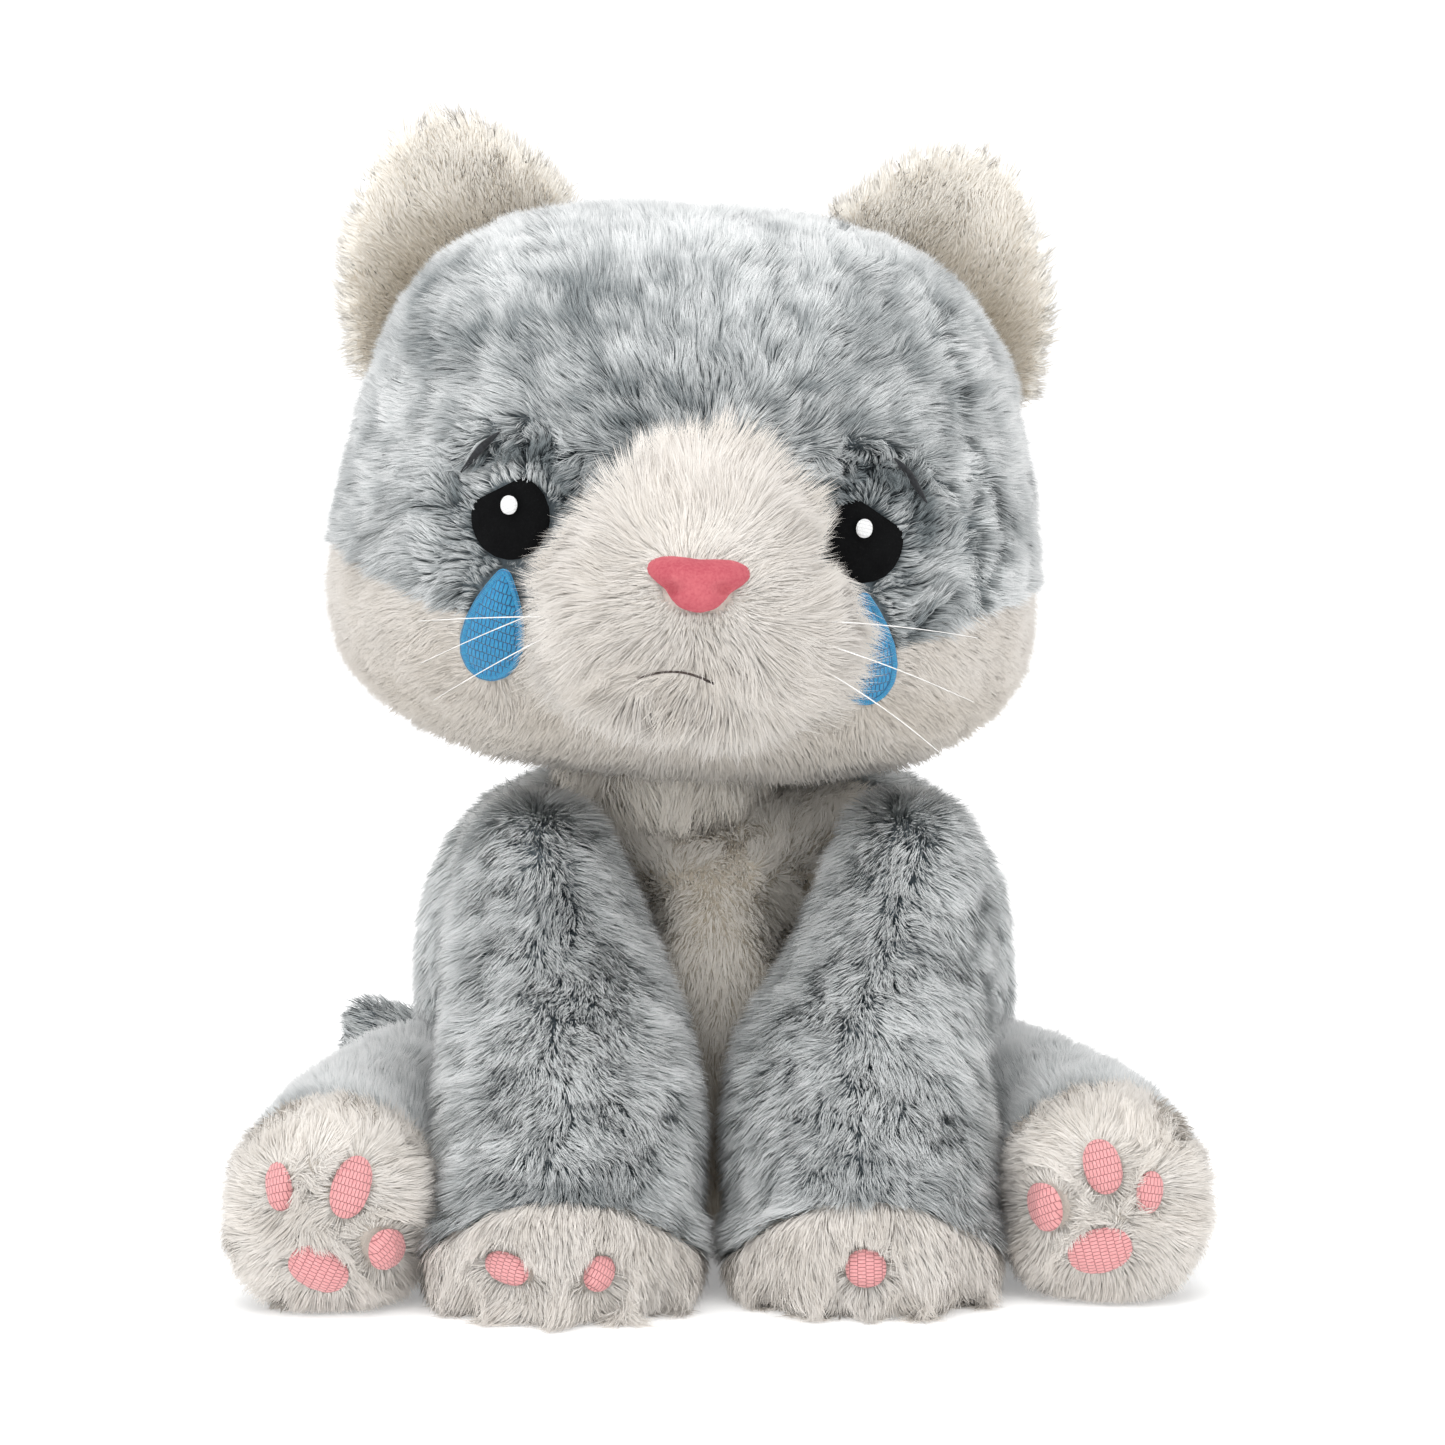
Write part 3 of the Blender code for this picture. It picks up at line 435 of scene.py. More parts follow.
def sew_pile(name, body, roots, up, comb, length, shade, material, slot, **cut):
    """Sews fibres at these roots as thin tapering ribbons, in pieces of a limited size.

    comb is which way they are brushed, length and shade have a value for each, and cut holds: width,
    lift (degrees off the skin at root and tip), tuft (mm), pull (how far tips gather), ruffle (how
    uneven they are brushed), edge (how crisply each fibre shades), glow (which way light passes on
    through a thin rim), airy (every second piece casts no shadow, since fine pale pile passes light),
    curl (how far tips bend aside), steps (joints in a fibre), clear (spaces to keep open) and seed.
    """
    rng = np.random.default_rng(cut["seed"])
    count = len(roots)
    steps = cut.get("steps", 2)
    comb = unit(comb + cut.get("ruffle", 0.3) * (drift(roots, 9 * MM, 1) + 0.8 * drift(roots, 3.2 * MM, 2)))
    length = length * (0.78 + 0.44 * rng.random(count)) * (1 + 0.18 * drift(roots, 5 * MM, 3)[:, 0])
    for space in cut.get("clear", ()):
        reach = space.reach(roots)
        beside = (1 - smooth_step(1.1, 2.0, reach))[:, None]
        comb = comb * (1 - beside) + space.outward(roots) * beside * 1.4
        length = length * (1 - 0.38 * beside[:, 0])
    comb = unit(comb - up * (comb * up).sum(axis=1, keepdims=True))
    comb = unit(comb + 0.16 * rng.normal(size=(count, 3)))
    low, high = (math.radians(angle) for angle in cut.get("lift", (60, 22)))
    lift = low + 0.16 * rng.normal(size=count) + 0.22 * drift(roots, 6 * MM, 5)[:, 0]

    levels = [roots]
    for step in range(steps):
        t = step / max(1, steps - 1)
        angle = np.clip(lift + (high - low) * t, 0.05, 1.5)[:, None]
        way = up * np.sin(angle) + comb * np.cos(angle)
        levels.append(levels[-1] + way * (length / steps)[:, None])
    curl = cut.get("curl", 0.0)
    side_way = np.cross(comb, up)
    bend = drift(roots, 7 * MM, 6)[:, 1]
    for i in range(1, steps + 1):
        t = i / steps
        levels[i] = levels[i] + side_way * (curl * length * bend * t * t)[:, None]
    tuft = cut.get("tuft", 2.0) * MM
    for size, pull, layer in ((tuft, cut.get("pull", 0.4), 4), (tuft * 3.2, cut.get("pull", 0.4) * 0.45, 7)):
        group = gather(roots, size, layer)
        for i in range(1, steps + 1):
            share = pull * (i / steps) ** 1.3 * (0.6 + 0.8 * rng.random(count))
            gathered = mean_of(levels[i], group)[group]
            levels[i] = levels[i] + (gathered - levels[i]) * np.clip(share, 0, 0.95)[:, None]

    keep = np.ones(count, bool)
    for space in cut.get("clear", ()):
        for level in (*levels, (levels[0] + levels[-1]) / 2, (levels[-2] + levels[-1]) / 2):
            keep &= space.reach(level) > 1.0
    lowest = FLOOR_CLEAR + 0.6 * MM * rng.random(count)
    for i, level in enumerate(levels):
        levels[i] = np.column_stack([level[:, :2], np.maximum(level[:, 2], lowest)])
    levels = [level[keep] for level in levels]
    up = up[keep]
    comb = comb[keep]
    shade = np.clip(shade[keep] + 0.14 * rng.normal(size=keep.sum()), 0.02, 0.98)
    count = keep.sum()

    width = cut["width"][keep] * (0.7 + 0.6 * rng.random(count))
    roll = rng.uniform(-0.75, 0.75, count)[:, None]
    rows = []
    soft = []
    for i, level in enumerate(levels):
        run = unit(levels[min(i + 1, steps)] - levels[max(i - 1, 0)])
        flat = unit(np.cross(run, up) + roll * up)
        face = unit(np.cross(flat, run))
        shading = unit(up + cut.get("edge", 0.22) * face + 0.25 * comb + cut.get("glow", 0.0))
        if i == 0:
            turn = np.sign((face * (up + cut.get("glow", 0.0))).sum(axis=1, keepdims=True) + 1e-6)
        flat = flat * turn
        if i < steps:
            half = (width * (1 - 0.35 * i / steps) / 2)[:, None]
            rows += [level - flat * half, level + flat * half]
            soft += [shading, shading]
        else:
            rows.append(level)
            soft.append(shading)
    per = 2 * steps + 1
    faces = []
    for i in range(steps - 1):
        faces += [(2 * i, 2 * i + 1, 2 * i + 2), (2 * i + 1, 2 * i + 3, 2 * i + 2)]
    faces.append((per - 3, per - 2, per - 1))
    faces = np.array(faces)
    points = np.stack(rows, axis=1)
    soft = np.stack(soft, axis=1)
    height = np.minimum(np.arange(per) // 2 / steps, 1.0)
    offset = np.where(np.arange(per) % 2, 0.004, -0.004)

    pieces = []
    order = rng.permutation(count)
    most = PIECE_FACES // len(faces)
    parts = max(2 if cut.get("airy") else 1, math.ceil(count / most))
    for number, chosen in enumerate(np.array_split(order, parts), start=1):
        piece_name = f"{name}_{number}" if parts > 1 else name
        corners = (faces[None] + (np.arange(len(chosen)) * per)[:, None, None]).reshape(-1)
        mesh = bpy.data.meshes.new(piece_name)
        mesh.vertices.add(len(chosen) * per)
        mesh.vertices.foreach_set("co", points[chosen].reshape(-1))
        mesh.loops.add(len(corners))
        mesh.loops.foreach_set("vertex_index", corners)
        mesh.polygons.add(len(corners) // 3)
        mesh.polygons.foreach_set("loop_start", np.arange(0, len(corners), 3))
        mesh.update(calc_edges=True)
        across = (shade[chosen][:, None] + offset[None]).reshape(-1)[corners]
        upward = np.tile(0.01 + 0.98 * height, len(chosen))[corners]
        layer = mesh.uv_layers.new(name="OFBake")
        layer.uv.foreach_set("vector", np.stack([across, upward], axis=1).reshape(-1))
        mesh.polygons.foreach_set("use_smooth", np.ones(len(corners) // 3, bool))
        mesh.normals_split_custom_set_from_vertices(soft[chosen].reshape(-1, 3))
        mesh.materials.append(material)
        piece = bpy.data.objects.new(piece_name, mesh)
        bpy.context.scene.collection.objects.link(piece)
        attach(piece, body)
        piece.visible_shadow = not (cut.get("airy") and number % 2 == 0)
        pieces.append(piece)
    return pieces


# Embroidered patches, felt and thread


def hull_of(flat):
    """The corners of the tightest convex outline round flat points, in turn order."""
    ordered = flat[np.lexsort((flat[:, 1], flat[:, 0]))]
    halves = []
    for run in (ordered, ordered[::-1]):
        chain = []
        for point in run:
            while len(chain) > 1:
                one, two = chain[-1] - chain[-2], point - chain[-2]
                if one[0] * two[1] - one[1] * two[0] > 0:
                    break
                chain.pop()
            chain.append(point)
        halves += chain[:-1]
    return np.array(halves)


def patch_outline(space, points, count, ease):
    """The rim of a patch as its distance from the middle at even turns."""
    away = points - space.centre
    hull = hull_of(np.stack([away @ space.across, away @ space.along], axis=1))
    edges = np.roll(hull, -1, axis=0) - hull
    outward = unit(np.stack([edges[:, 1], -edges[:, 0]], axis=1))
    reach = (hull * outward).sum(axis=1)
    angles = np.arange(count) * math.tau / count
    ways = np.stack([np.cos(angles), np.sin(angles)], axis=1) @ outward.T
    rim = np.where(ways > 1e-6, reach / np.maximum(ways, 1e-6), 1.0).min(axis=1)
    for _ in range(ease):
        rim = 0.5 * rim + 0.25 * (np.roll(rim, 1) + np.roll(rim, -1))
    return angles, rim


def sew_patch(node, body, outward_from, fill, edge=None, edge_width=0.0, count=72, ease=3, lift=0.15 * MM):
    """A padded patch in place of a CAD one: the same outline and crown, finer, with a satin edge."""
    space = Clear(node, outward_from)
    points = points_of(node)
    angles, rim = patch_outline(space, points, count, ease)
    bm = mesh_of_nodes([node])
    tree = BVHTree.FromBMesh(bm)
    bm.free()
    out = Vector(space.out)

    def spot(angle, distance, raised):
        aside = space.across * math.cos(angle) * distance
        place = Vector(space.centre + aside + space.along * math.sin(angle) * distance)
        hit = tree.ray_cast(place + out * 30 * MM, -out)[0]
        base = hit if hit else tree.find_nearest(place)[0]
        height = (base - place).dot(out)
        return place + out * (height + raised)

    rings = 9
    bm = bmesh.new()
    lay = bm.loops.layers.uv.new("lay")
    loops = []
    for ring in range(1, rings + 1):
        share = ring / rings
        dip = -0.5 * MM * share**8
        loops.append([bm.verts.new(spot(a, r * min(share, 0.97), lift + dip)) for a, r in zip(angles, rim)])
    centre = bm.verts.new(spot(0.0, 0.0, lift))
    for i in range(count):
        j = (i + 1) % count
        bm.faces.new((centre, loops[0][i], loops[0][j]))
        for one, two in zip(loops, loops[1:]):
            bm.faces.new((one[i], two[i], two[j], one[j]))
    for face in bm.faces:
        for loop in face.loops:
            away = np.array(loop.vert.co) - space.centre
            loop[lay].uv = (away @ space.across / MM, away @ space.along / MM)
    edge_faces = set()
    if edge:
        rim_points = [spot(a, r * 0.93, 0.0) for a, r in zip(angles, rim)]
        edge_faces = satin_edge(bm, lay, rim_points, out, edge_width)
    bmesh.ops.recalc_face_normals(bm, faces=bm.faces[:])
    for face in edge_faces:
        face.material_index = 1
    mesh = bpy.data.meshes.new(node + "_sewn")
    bm.to_mesh(mesh)
    bm.free()
    mesh.shade_smooth()
    mesh.materials.append(fill)
    if edge:
        mesh.materials.append(edge)
    piece = bpy.data.objects.new(node + "_sewn", mesh)
    bpy.context.scene.collection.objects.link(piece)
    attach(piece, body)
    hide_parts(node)
    return piece


def satin_edge(bm, lay, rim_points, out, width):
    """A ring of satin stitches over the rim: a low bead whose threads lie side by side across it."""
    closed = [*rim_points, rim_points[0]]
    lengths = np.cumsum([0.0] + [(b - a).length for a, b in zip(closed, closed[1:])])
    stitches = max(24, int(lengths[-1] / (0.5 * MM)))
    rounds = []
    for i in range(stitches * 2):
        at = lengths[-1] * i / (stitches * 2)
        k = min(int(np.searchsorted(lengths, at, side="right")) - 1, len(rim_points) - 1)
        part = (at - lengths[k]) / (lengths[k + 1] - lengths[k])
        place = closed[k].lerp(closed[k + 1], part)
        run = (closed[k + 1] - closed[k]).normalized()
        side = run.cross(out).normalized()
        proud = 1.0 if i % 2 else 0.72
        ring = []
        for j in range(6):
            turn = math.pi * j / 5
            aside = side * (math.cos(turn) * width / 2)
            ring.append(bm.verts.new(place + aside + out * (math.sin(turn) * width * 0.2 * proud)))
        rounds.append(ring)
    made = set()
    for i, ring in enumerate(rounds):
        after = rounds[(i + 1) % len(rounds)]
        for j in range(5):
            face = bm.faces.new((ring[j], ring[j + 1], after[j + 1], after[j]))
            made.add(face)
            for loop, (u, v) in zip(face.loops, ((i, j), (i, j + 1), (i + 1, j + 1), (i + 1, j))):
                loop[lay].uv = (u * 0.25, v * 0.3)
    return made


def line_through(node, count):
    """The middle line of a thin CAD tube, as points from its lower x to its higher."""
    points = points_of(node)
    centre = points.mean(axis=0)
    main = np.linalg.eigh(np.cov((points - centre).T))[1][:, 2]
    at = (points - centre) @ main
    order = np.argsort(at)
    chunks = np.array_split(order, count)
    line = np.array([points[chunk].mean(axis=0) for chunk in chunks])
    return line if line[0][0] < line[-1][0] else line[::-1]


def tapered_line(name, body, node, points, widths, material):
    """A thin round line through points, as a curve with a width at each."""
    curve = bpy.data.curves.new(name, "CURVE")
    curve.dimensions = "3D"
    curve.bevel_depth = 1.0
    curve.bevel_resolution = 2
    curve.use_fill_caps = True
    spline = curve.splines.new("NURBS")
    spline.points.add(len(points) - 1)
    for point, place, width in zip(spline.points, points, widths):
        point.co = (*place, 1.0)
        point.radius = width / 2
    spline.use_endpoint_u = True
    spline.order_u = 4
    spline.resolution_u = 8
    curve.materials.append(material)
    piece = bpy.data.objects.new(name, curve)
    bpy.context.scene.collection.objects.link(piece)
    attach(piece, body)
    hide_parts(node)
    return piece


# Finishes

GREY_DEEP = ((0.0, "262C2F"), (0.35, "3C4447"), (0.7, "687174"), (1.0, "979FA1"))
GREY_PALE = ((0.0, "70797C"), (0.25, "A4ACAE"), (0.6, "E4E8E8"), (1.0, "FFFFFF"))
# White pile: painted light, each ramp lighter at the root than at the tip, to lift the shade between fibres
WHITE_DEEP = ((0.0, "DDD6CC"), (0.5, "D6CEC3"), (1.0, "D0C8BD"))
WHITE_PALE = ((0.0, "F7F4EF"), (0.5, "F3EEE8"), (1.0, "F1ECE6"))
CREAM_DEEP = ((0.0, "A59984"), (0.5, "A89C88"), (1.0, "AFA390"))
CREAM_PALE = ((0.0, "FFFCF5"), (0.5, "FAF5EC"), (1.0, "FAF6EF"))

grey_pile = pile("grey_long_pile", GREY_DEEP, GREY_PALE, 0.25)
white_pile = pile("white_long_pile", WHITE_DEEP, WHITE_PALE, 0.2)
cream_pile = pile("cream_short_pile", CREAM_DEEP, CREAM_PALE, 0.2)
grey_backing = backing("grey_knit_backing", "3F494E", "87939A")
white_backing = backing("white_knit_backing", "D6CEC3", "EAE4DB")
cream_backing = backing("cream_knit_backing", "CFC4B2", "EAE1D2")
black_felt = felt("black_wool_felt", "030304", "0A0B0C", 0.0, 0.12)
nose_flock = felt("pink_nose_flock", "B04E5A", "C4686F", 0.1, 0.2)
blue_thread = thread("blue_embroidery_fill", "033457", "0870A8", "2294C0", 1.1, 0.5)
blue_satin = thread("blue_satin_edge", "06487A", "0A78B0", "2A9CC6", 0.5, 0.45)
pink_thread = thread("pink_embroidery_fill", "B06669", "DC9294", "E8A8A8", 0.9, 0.55)
white_thread = thread("white_satin_glint", "C9CBCC", "EDEEEE", "FFFFFF", 0.4)
black_thread = felt("black_embroidery_thread", "141517", "303236", 0.3)
brown_thread = felt("dark_brown_mouth_thread", "2A2220", "4C403B", 0.2)
nylon = bristle("clear_nylon_monofilament")

# Head

head_middle = middle_of("head_stuffing")
muzzle_middle = middle_of("muzzle_cover")
nose_middle = middle_of("nose")
brow_middle = np.array([nose_middle[0], muzzle_middle[1] + 12 * MM, nose_middle[2] + 16 * MM])

face_clear = [Clear(f"eye_{hand}", head_middle, 0.97) for hand, _ in HANDS]
face_clear += [Clear(f"teardrop_{hand}", head_middle, 0.93) for hand, _ in HANDS]
nose_clear = Clear("nose", head_middle, 0.64)


def around_eyes(at, up):
    """Near each eye: how near, the way round the eye, and the dark crescent over it."""
    near = np.zeros(len(at))
    swirl = np.zeros((len(at), 3))
    crescent = np.zeros(len(at))
    for space, side in zip(face_clear[:2], (1, -1)):
        away = at - space.centre
        far = np.linalg.norm(away, axis=1)
        here = smooth_step(34 * MM, 14 * MM, far)
        near = np.maximum(near, here)
        turn = np.cross(up, away / np.maximum(far, 1e-6)[:, None]) * side
        swirl += turn * here[:, None]
        uneven = far + 3 * MM * drift(at, 11 * MM, 26)[:, 0]
        above = smooth_step(-0.25, 0.35, away[:, 2] / np.maximum(far, 1e-6))
        crescent += np.exp(-(((uneven - 17.5 * MM) / (3.2 * MM)) ** 2)) * above
    return near, swirl, crescent


def plush_head():
    nodes = ("head_top_cover", "head_lower_cover", "muzzle_cover")
    skin = stuffed_skin("head_skin", "head", (*nodes, "head_stuffing", "muzzle_stuffing"), 3.4 * MM, 5)
    points = surface_of(skin)[0]
    regions = nearest_cover(points, nodes)
    colour_skin(skin, regions, dict(zip(nodes, (grey_backing, white_backing, white_backing))))
    roots, up, width, read = scatter(skin, regions, 21)
    on_muzzle = read["muzzle_cover"] > 0
    on_top = ~on_muzzle & (read["head_top_cover"] > read["head_lower_cover"])
    on_low = ~on_muzzle & ~on_top

    at = roots[on_top]
    by_eye, swirl, crescent = around_eyes(at, up[on_top])
    comb = unit(at - brow_middle) + 0.2 * drift(at, 22 * MM, 8) + 0.9 * swirl
    aside = np.abs(at[:, 0] - head_middle[0])
    comb[:, 2] -= 0.25 * smooth_step(20 * MM, 75 * MM, aside)
    crown = smooth_step(50 * MM, 66 * MM, at[:, 2] - head_middle[2])
    nape = smooth_step(0.0, 60 * MM, at[:, 1])
    temple = smooth_step(45 * MM, 85 * MM, aside) * (1 - by_eye)
    patches = drift(at, 15 * MM, 9)[:, 0] * 0.34 + drift(at, 4 * MM, 10)[:, 0] * 0.38
    shade = 0.53 + patches - 0.08 * by_eye - 0.75 * crescent + 0.5 * crown + 0.2 * nape + 0.22 * temple
    length = (7.4 - 0.4 * by_eye) * MM
    options = dict(lift=(76, 44), tuft=1.8, pull=0.34, ruffle=0.5, clear=face_clear, seed=31, curl=0.3)
    near = by_eye > 0.35
    for chosen, name in ((~near, "head_top_pile"), (near, "eye_tuft_pile")):
        if name == "eye_tuft_pile":
            options.update(steps=3, ruffle=1.1, pull=0.55, curl=0.8, tuft=2.4, lift=(78, 28), seed=32)
        options["width"] = width[on_top][chosen]
        root_set = (at[chosen], up[on_top][chosen], comb[chosen], length[chosen], shade[chosen])
        sew_pile(name, "head", *root_set, grey_pile, "grey_pile", **options)

    at = roots[on_low]
    comb = unit(at - brow_middle) + np.array((0, 0, -0.15))
    # Painted shade: the cheek and chin pile is darker where the skin faces down
    shade = 0.6 + 0.2 * drift(at, 9 * MM, 11)[:, 0] - 0.45 * smooth_step(-0.15, -0.8, up[on_low][:, 2])
    length = np.full(len(at), 6.2 * MM)
    options = dict(lift=(58, 24), tuft=1.6, pull=0.15, ruffle=0.3, edge=0.05, airy=True, seed=33)
    options.update(clear=face_clear, width=width[on_low])
    sew_pile("cheek_pile", "head", at, up[on_low], comb, length, shade, white_pile, "white_pile", **options)

    at = roots[on_muzzle]
    comb = unit(at - nose_middle)
    away = np.linalg.norm(at - nose_middle, axis=1)
    # Painted shade: the muzzle pile is darker where the skin faces down
    shade = 0.78 + 0.22 * drift(at, 7 * MM, 12)[:, 0] - 0.3 * smooth_step(0.0, -0.8, up[on_muzzle][:, 2])
    length = (5.5 + 8.5 * smooth_step(9 * MM, 26 * MM, away)) * MM
    length *= 1 - 0.45 * smooth_step(6 * MM, 2 * MM, nearness(at, "mouth_stitch"))
    clear = [nose_clear, *face_clear[:2], face_clear[3]]
    options = dict(lift=(68, 30), tuft=2.2, pull=0.14, ruffle=0.5, edge=0.0, airy=True, clear=clear, seed=34)
    options.update(steps=3, curl=0.5)
    options["width"] = width[on_muzzle]
    root_set = (at, up[on_muzzle], comb, length, shade)
    sew_pile("muzzle_pile", "head", *root_set, white_pile, "white_pile", **options)


def plush_ears():
    for hand, side in HANDS:
        lining, back = f"ear_lining_{hand}", f"ear_back_{hand}"
        facing = unit(middle_of(lining) - middle_of(back))
        middle = middle_of(lining)
        root = np.array([middle[0] - side * 6 * MM, middle[1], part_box(lining)[0][2] + 14 * MM])
        skin = stuffed_skin(lining + "_skin", f"ear_{hand}", (lining,), 1.9 * MM, 3, 0.2 * MM)
        skin.data.materials.append(cream_backing)
        roots, up, width, _ = scatter(skin, {}, 41 + side, 6.5, 6.5)
        keep = up @ facing > -0.75
        at, up, width = roots[keep], up[keep], width[keep]
        comb = unit(at - root) + 0.25 * drift(at, 12 * MM, 13)
        rim = smooth_step(0.95, 0.35, up @ facing)
        # The hollow near the ear's root is darker: partly the lining's own colour, partly painted shade
        deep = smooth_step(48 * MM, 14 * MM, np.linalg.norm(at - root, axis=1)) * (1 - rim)
        shade = 0.86 + 0.2 * rim - 1.1 * deep + 0.12 * drift(at, 7 * MM, 14)[:, 0]
        length = (3.2 + 3.6 * rim) * MM
        glow = facing * 1.1 + np.array((0, 0, 0.5))
        options = dict(lift=(60, 24), tuft=1.6, pull=0.12, ruffle=0.4, edge=0.05, glow=glow, seed=42 + side)
        options.update(width=width, airy=True)
        root_set = (at, up, comb, length, shade)
        sew_pile(lining + "_pile", f"ear_{hand}", *root_set, cream_pile, "cream_pile", **options)

        skin = stuffed_skin(back + "_skin", f"ear_{hand}", (back,), 1.9 * MM, 3, 0.2 * MM)
        skin.data.materials.append(grey_backing)
        roots, up, width, _ = scatter(skin, {}, 44 + side, 3.2, 3.2)
        behind = up @ -facing
        for chosen, name in ((behind > 0.6, back + "_pile"), (np.abs(behind) <= 0.6, back + "_rim_pile")):
            at, on_rim = roots[chosen], "rim" in name
            comb = 0.5 * unit(at - root) - (0.0 if on_rim else 1.5) * facing + 0.25 * drift(at, 12 * MM, 13)
            shade = (1.1 if on_rim else 0.8) + 0.2 * drift(at, 9 * MM, 15)[:, 0]
            length = np.full(len(at), 5.0 * MM)
            lift = (58, 40) if on_rim else (32, 10)
            options = dict(lift=lift, tuft=2.2, pull=0.3, ruffle=0.4, edge=0.05, seed=46 + side)
            options.update(width=width[chosen] * 1.2, glow=glow * on_rim)
            material = white_pile if on_rim else grey_pile
            slot = "cream_pile" if on_rim else "grey_pile"
            sew_pile(name, f"ear_{hand}", at, up[chosen], comb, length, shade, material, slot, **options)


# Body, neck, legs and tail


def plush_body():
    nodes = ("body_cover", "chest_panel")
    skin = stuffed_skin("body_skin", "torso", (*nodes, "body_stuffing", "seat_bean_bag"), 3.6 * MM, 5)
    points = surface_of(skin)[0]
    regions = nearest_cover(points, nodes)
    middle = middle_of("body_cover")
    regions["chest_panel"] = regions["chest_panel"] + 9 * MM * (points[:, 1] < middle[1] - 15 * MM)
    regions["body_cover"] = -regions["chest_panel"]
    colour_skin(skin, regions, dict(zip(nodes, (grey_backing, cream_backing))))
    roots, up, width, read = scatter(skin, regions, 51, 4.5, 2.3)
    on_chest = (read["chest_panel"] > 0) & (roots[:, 1] < middle[1])
    for chosen, name in ((on_chest, "chest_pile"), (~on_chest, "body_pile")):
        at = roots[chosen]
        comb = 0.6 * unit(at - middle) + np.array((0, 0, -1.0))
        high = smooth_step(0.085, 0.115, at[:, 2])[:, None]
        comb = comb * (1 - high) + high * (unit(at - middle) + np.array((0, 0, 0.2)))
        if name == "chest_pile":
            # Painted shade: the chest pile darkens towards its bottom, between the legs
            shade = 1.05 + 0.2 * drift(at, 8 * MM, 16)[:, 0] - 0.75 * smooth_step(0.075, 0.03, at[:, 2])
            length = np.full(len(at), 5.0 * MM)
            options = dict(lift=(66, 34), tuft=1.9, pull=0.25, ruffle=0.5, edge=0.05, airy=True, seed=52)
            options.update(width=width[chosen] * 1.15, glow=np.array((0, -0.8, 0.6)))
            sew_pile(name, "torso", at, up[chosen], comb, length, shade, cream_pile, "cream_pile", **options)
        else:
            shade = 1.1 + 0.2 * drift(at, 18 * MM, 17)[:, 0] + 0.2 * drift(at, 5 * MM, 18)[:, 0]
            length = np.full(len(at), 9.0 * MM)
            options = dict(lift=(60, 26), tuft=2.6, pull=0.42, ruffle=0.45, seed=53)
            options["width"] = width[chosen] * 1.2
            sew_pile(name, "torso", at, up[chosen], comb, length, shade, grey_pile, "grey_pile", **options)


def plush_neck():
    skin = stuffed_skin("neck_skin", "neck", ("neck_stuffing",), 3.0 * MM, 2)
    skin.data.materials.append(cream_backing)
    roots, up, width, _ = scatter(skin, {}, 55, 3.5, 2.2)
    keep = np.abs(up[:, 2]) < 0.8
    roots, up, width = roots[keep], up[keep], width[keep]
    comb = up * 0.2 + np.array((0, 0, -0.6))
    shade = 0.85 + 0.15 * drift(roots, 6 * MM, 19)[:, 0]
    length = np.full(len(roots), 13.0 * MM)
    options = dict(lift=(62, 10), tuft=2.4, pull=0.3, ruffle=0.5, edge=0.05, airy=True, seed=56, width=width)
    options["glow"] = np.array((0, -0.8, 0.6))
    sew_pile("neck_pile", "neck", roots, up, comb, length, shade, cream_pile, "cream_pile", **options)


